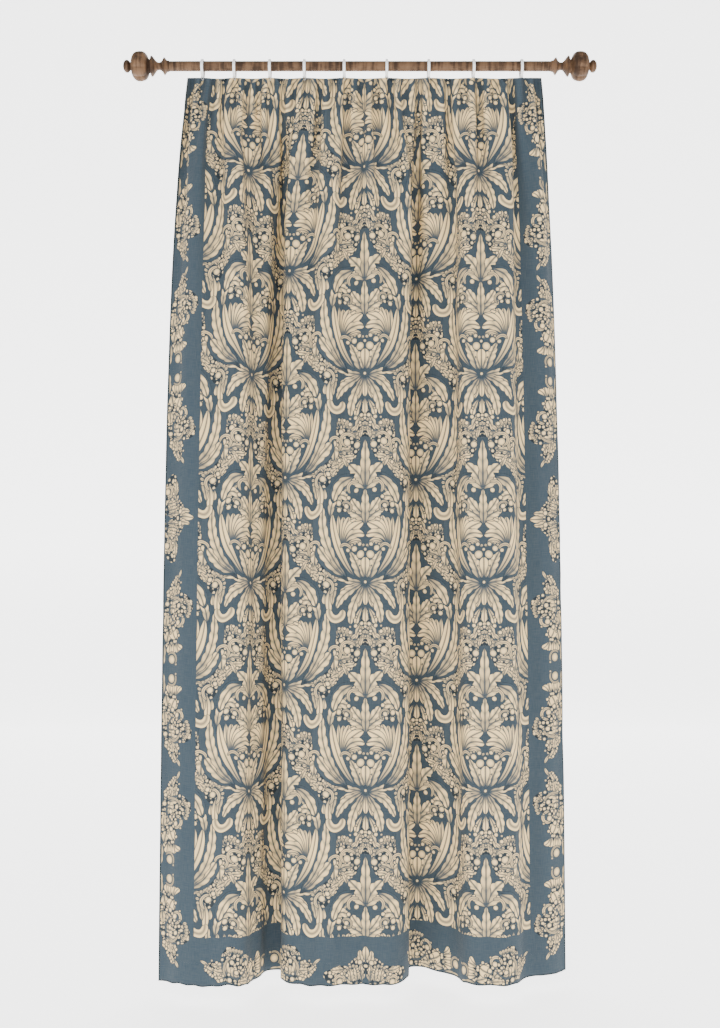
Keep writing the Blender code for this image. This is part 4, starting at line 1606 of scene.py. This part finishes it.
def cloth_finishes(settings):
    """The print in tones from ground to cream, as one finish for each of its zones.

    Each zone holds only the shapes that reach it, which is quicker to draw than all of them.
    """
    parts = {}
    stops = tone_colours(settings)
    finishes = []
    for zone in range(BORDER_ZONE + 1):
        cloth = Finish(f"damask_print_{zone + 1}", Specular_IOR_Level=0.12,
                       Sheen_Weight=0.06, Sheen_Roughness=0.5)
        u, v, _ = cloth.axes(cloth.triple("ShaderNodeUVMap", {"uv_map": "flat_cloth"}))
        across, down = u * MM, v * MM
        if zone == BORDER_ZONE:
            tone = border_print(cloth, across, down, parts)
        else:
            tone = field_print(cloth, across, down, zone, parts)
        knots, slubs = weave(cloth, u, v)
        colour = cloth.node("ShaderNodeValToRGB", {"stops": stops}, (tone,))
        colour = cloth.mix(slubs * 0.10, colour, SLUB_TINT)
        side = cloth.node("ShaderNodeAttribute", {"attribute_name": "reverse_side"}, output="Fac")
        cloth.feed("Base Color", cloth.mix(side * REVERSE_COVER, colour, settings.reverse))
        cloth.feed("Roughness", 0.86 - slubs * 0.12)
        cloth.bump(knots * 0.35 + slubs, 0.0004, 0.35)
        finishes.append(cloth)
    return finishes


def put_on_zones(cloth, finishes):
    """Give each face the finish of its zone, by the flat place of its middle."""
    mesh = cloth.data
    flat = np.empty(len(mesh.loops) * 2, dtype=np.float32)
    mesh.uv_layers["flat_cloth"].data.foreach_get("uv", flat)
    starts = np.empty(len(mesh.polygons), dtype=np.int32)
    mesh.polygons.foreach_get("loop_start", starts)
    middles = flat.reshape(-1, 4, 2).mean(axis=1)[starts // 4] * MM
    zones = zone_numbers(middles[:, 0], middles[:, 1])
    mesh.materials.clear()
    for finish in finishes:
        mesh.materials.append(finish.material)
    mesh.polygons.foreach_set("material_index", zones.astype(np.int32))


# ---------------------------------------------------------------- stage

FLOOR_GAP = 0.03             # from the cloth's foot to the floor
FLOOR_NEAR, BACKDROP, STAGE_BEND = -5.0, 4.6, 1.0
STAGE_HEIGHT, STAGE_HALF = 6.6, 6.0
LIGHT_PLACE, LIGHT_AIM, LIGHT_SIZE = (-0.9, -3.4, 0.9), (0, 0, -1.1), 2.4
CAMERA_DISTANCE = 3.0        # as far off as a person stands
CAMERA_FILL = 0.90           # share of the picture's height that the object takes
SENSOR = 36.0                # millimetres, as a lens is measured against it


def make_stage(settings):
    """Floor and backdrop in one sheet: flat, then a quarter round of 1 m, then upright."""
    low = CAD_BOX[0][2] - FLOOR_GAP
    turn = np.linspace(0, np.pi / 2, 24)
    y = np.concatenate([[FLOOR_NEAR], BACKDROP - STAGE_BEND * (1 - np.sin(turn)), [BACKDROP]])
    z = np.concatenate([[low], low + STAGE_BEND * (1 - np.cos(turn)), [low + STAGE_HEIGHT]])
    x = np.linspace(-STAGE_HALF, STAGE_HALF, 9)[None, :]
    vertices = np.stack(np.broadcast_arrays(x, y[:, None], z[:, None]), axis=-1)
    mesh = bpy.data.meshes.new("stage_sheet")
    mesh.from_pydata(vertices.reshape(-1, 3).tolist(), [],
                     grid_faces(len(y), x.shape[1])[:, ::-1].tolist())
    mesh.shade_smooth()
    sheet = new_object("stage_sheet", mesh)
    stage_finish(settings).put_on(sheet)


def light_stage(settings):
    """A pale sky, and a broad soft light in front, a little to the left and above."""
    world = bpy.data.worlds.new("pale_room")
    world.use_nodes = True
    sky = world.node_tree.nodes["Background"]
    sky.inputs["Color"].default_value = (1.0, 1.0, 1.0, 1.0)
    sky.inputs["Strength"].default_value = 1.0
    bpy.context.scene.world = world
    light = bpy.data.lights.new("front_light", "AREA")
    light.size = LIGHT_SIZE
    light.energy = settings.light
    lamp = new_object("front_light", light)
    lamp.location = LIGHT_PLACE
    ahead = Vector(LIGHT_AIM) - Vector(LIGHT_PLACE)
    lamp.rotation_euler = ahead.to_track_quat("-Z", "Y").to_euler()


def place_camera():
    """A camera straight in front, half way down the object."""
    low, high = CAD_BOX
    middle = (low[2] + high[2]) / 2
    seen = (high[2] - low[2]) / CAMERA_FILL
    camera = bpy.data.cameras.new("camera")
    camera.sensor_width = SENSOR
    camera.lens = SENSOR * CAMERA_DISTANCE / seen
    eye = new_object("camera", camera)
    eye.location = (0.0, -CAMERA_DISTANCE, middle)
    eye.rotation_euler = (np.pi / 2, 0, 0)
    bpy.context.scene.camera = eye


# ---------------------------------------------------------------- operators


class CURTAIN_OT_cloth(bpy.types.Operator):
    """Make the gathered damask cloth with its hems and stitches"""

    bl_idname = "curtain.cloth"
    bl_label = "Cloth"

    def execute(self, context):
        settings = context.scene.curtain_cloth
        cloth = make_cloth(settings)
        thread = context.scene.curtain_rings.thread
        stitches = make_hem_stitches(settings, thread * STITCH_SHARE)
        put_on_zones(cloth, cloth_finishes(settings))
        ground = tuple(BLUE_THREAD_SHARE * part for part in settings.ground)
        thread_finish("blue_thread", ground).put_on(stitches)
        return {"FINISHED"}


class CURTAIN_OT_rod(bpy.types.Operator):
    """Make the wooden rod"""

    bl_idname = "curtain.rod"
    bl_label = "Rod"

    def execute(self, context):
        wood_finish(context.scene.curtain_wood).put_on(make_rod())
        return {"FINISHED"}


class CURTAIN_OT_finials(bpy.types.Operator):
    """Make the two turned finials"""

    bl_idname = "curtain.finials"
    bl_label = "Finials"

    def execute(self, context):
        wood_finish(context.scene.curtain_wood).put_on(make_finial(-1), make_finial(1))
        return {"FINISHED"}


class CURTAIN_OT_rings(bpy.types.Operator):
    """Make the nine rings and the threads that sew them to the heading"""

    bl_idname = "curtain.rings"
    bl_label = "Rings"

    def execute(self, context):
        settings = context.scene.curtain_rings
        rings = [make_ring(number) for number in range(1, len(RING_PLACES) + 1)]
        ring_finish(settings).put_on(*rings)
        threads = make_ring_threads(settings.thread)
        thread_finish("white_thread", WHITE_THREAD).put_on(threads)
        return {"FINISHED"}


class CURTAIN_OT_stage(bpy.types.Operator):
    """Make the floor, the backdrop, the lights and the camera"""

    bl_idname = "curtain.stage"
    bl_label = "Stage"

    def execute(self, context):
        settings = context.scene.curtain_stage
        place_camera()
        make_stage(settings)
        light_stage(settings)
        return {"FINISHED"}


class CURTAIN_PT_sidebar(bpy.types.Panel):
    """Sizes, colours and buttons of the curtain"""

    bl_idname = "CURTAIN_PT_sidebar"
    bl_label = "Damask curtain"
    bl_space_type = "VIEW_3D"
    bl_region_type = "UI"
    bl_category = "Curtain"

    def draw(self, context):
        for group, _, operators in PANEL_GROUPS:
            box = self.layout.box()
            settings = getattr(context.scene, group)
            for name in settings.__annotations__:
                box.prop(settings, name)
            for operator in operators:
                box.operator(operator.bl_idname)


PANEL_GROUPS = (
    ("curtain_cloth", CURTAIN_ClothSettings, (CURTAIN_OT_cloth,)),
    ("curtain_wood", CURTAIN_WoodSettings, (CURTAIN_OT_rod, CURTAIN_OT_finials)),
    ("curtain_rings", CURTAIN_RingSettings, (CURTAIN_OT_rings,)),
    ("curtain_stage", CURTAIN_StageSettings, (CURTAIN_OT_stage,)),
)


def register():
    for group, settings, operators in PANEL_GROUPS:
        bpy.utils.register_class(settings)
        setattr(bpy.types.Scene, group, PointerProperty(type=settings))
        for operator in operators:
            bpy.utils.register_class(operator)
    bpy.utils.register_class(CURTAIN_PT_sidebar)


def unregister():
    bpy.utils.unregister_class(CURTAIN_PT_sidebar)
    for group, settings, operators in reversed(PANEL_GROUPS):
        for operator in reversed(operators):
            bpy.utils.unregister_class(operator)
        delattr(bpy.types.Scene, group)
        bpy.utils.unregister_class(settings)


def main():
    """Make everything: the stage, the rod, the finials, the rings and the cloth."""
    register()
    bpy.ops.curtain.stage()
    bpy.ops.curtain.rod()
    bpy.ops.curtain.finials()
    bpy.ops.curtain.rings()
    bpy.ops.curtain.cloth()


if __name__ == "__main__":
    main()
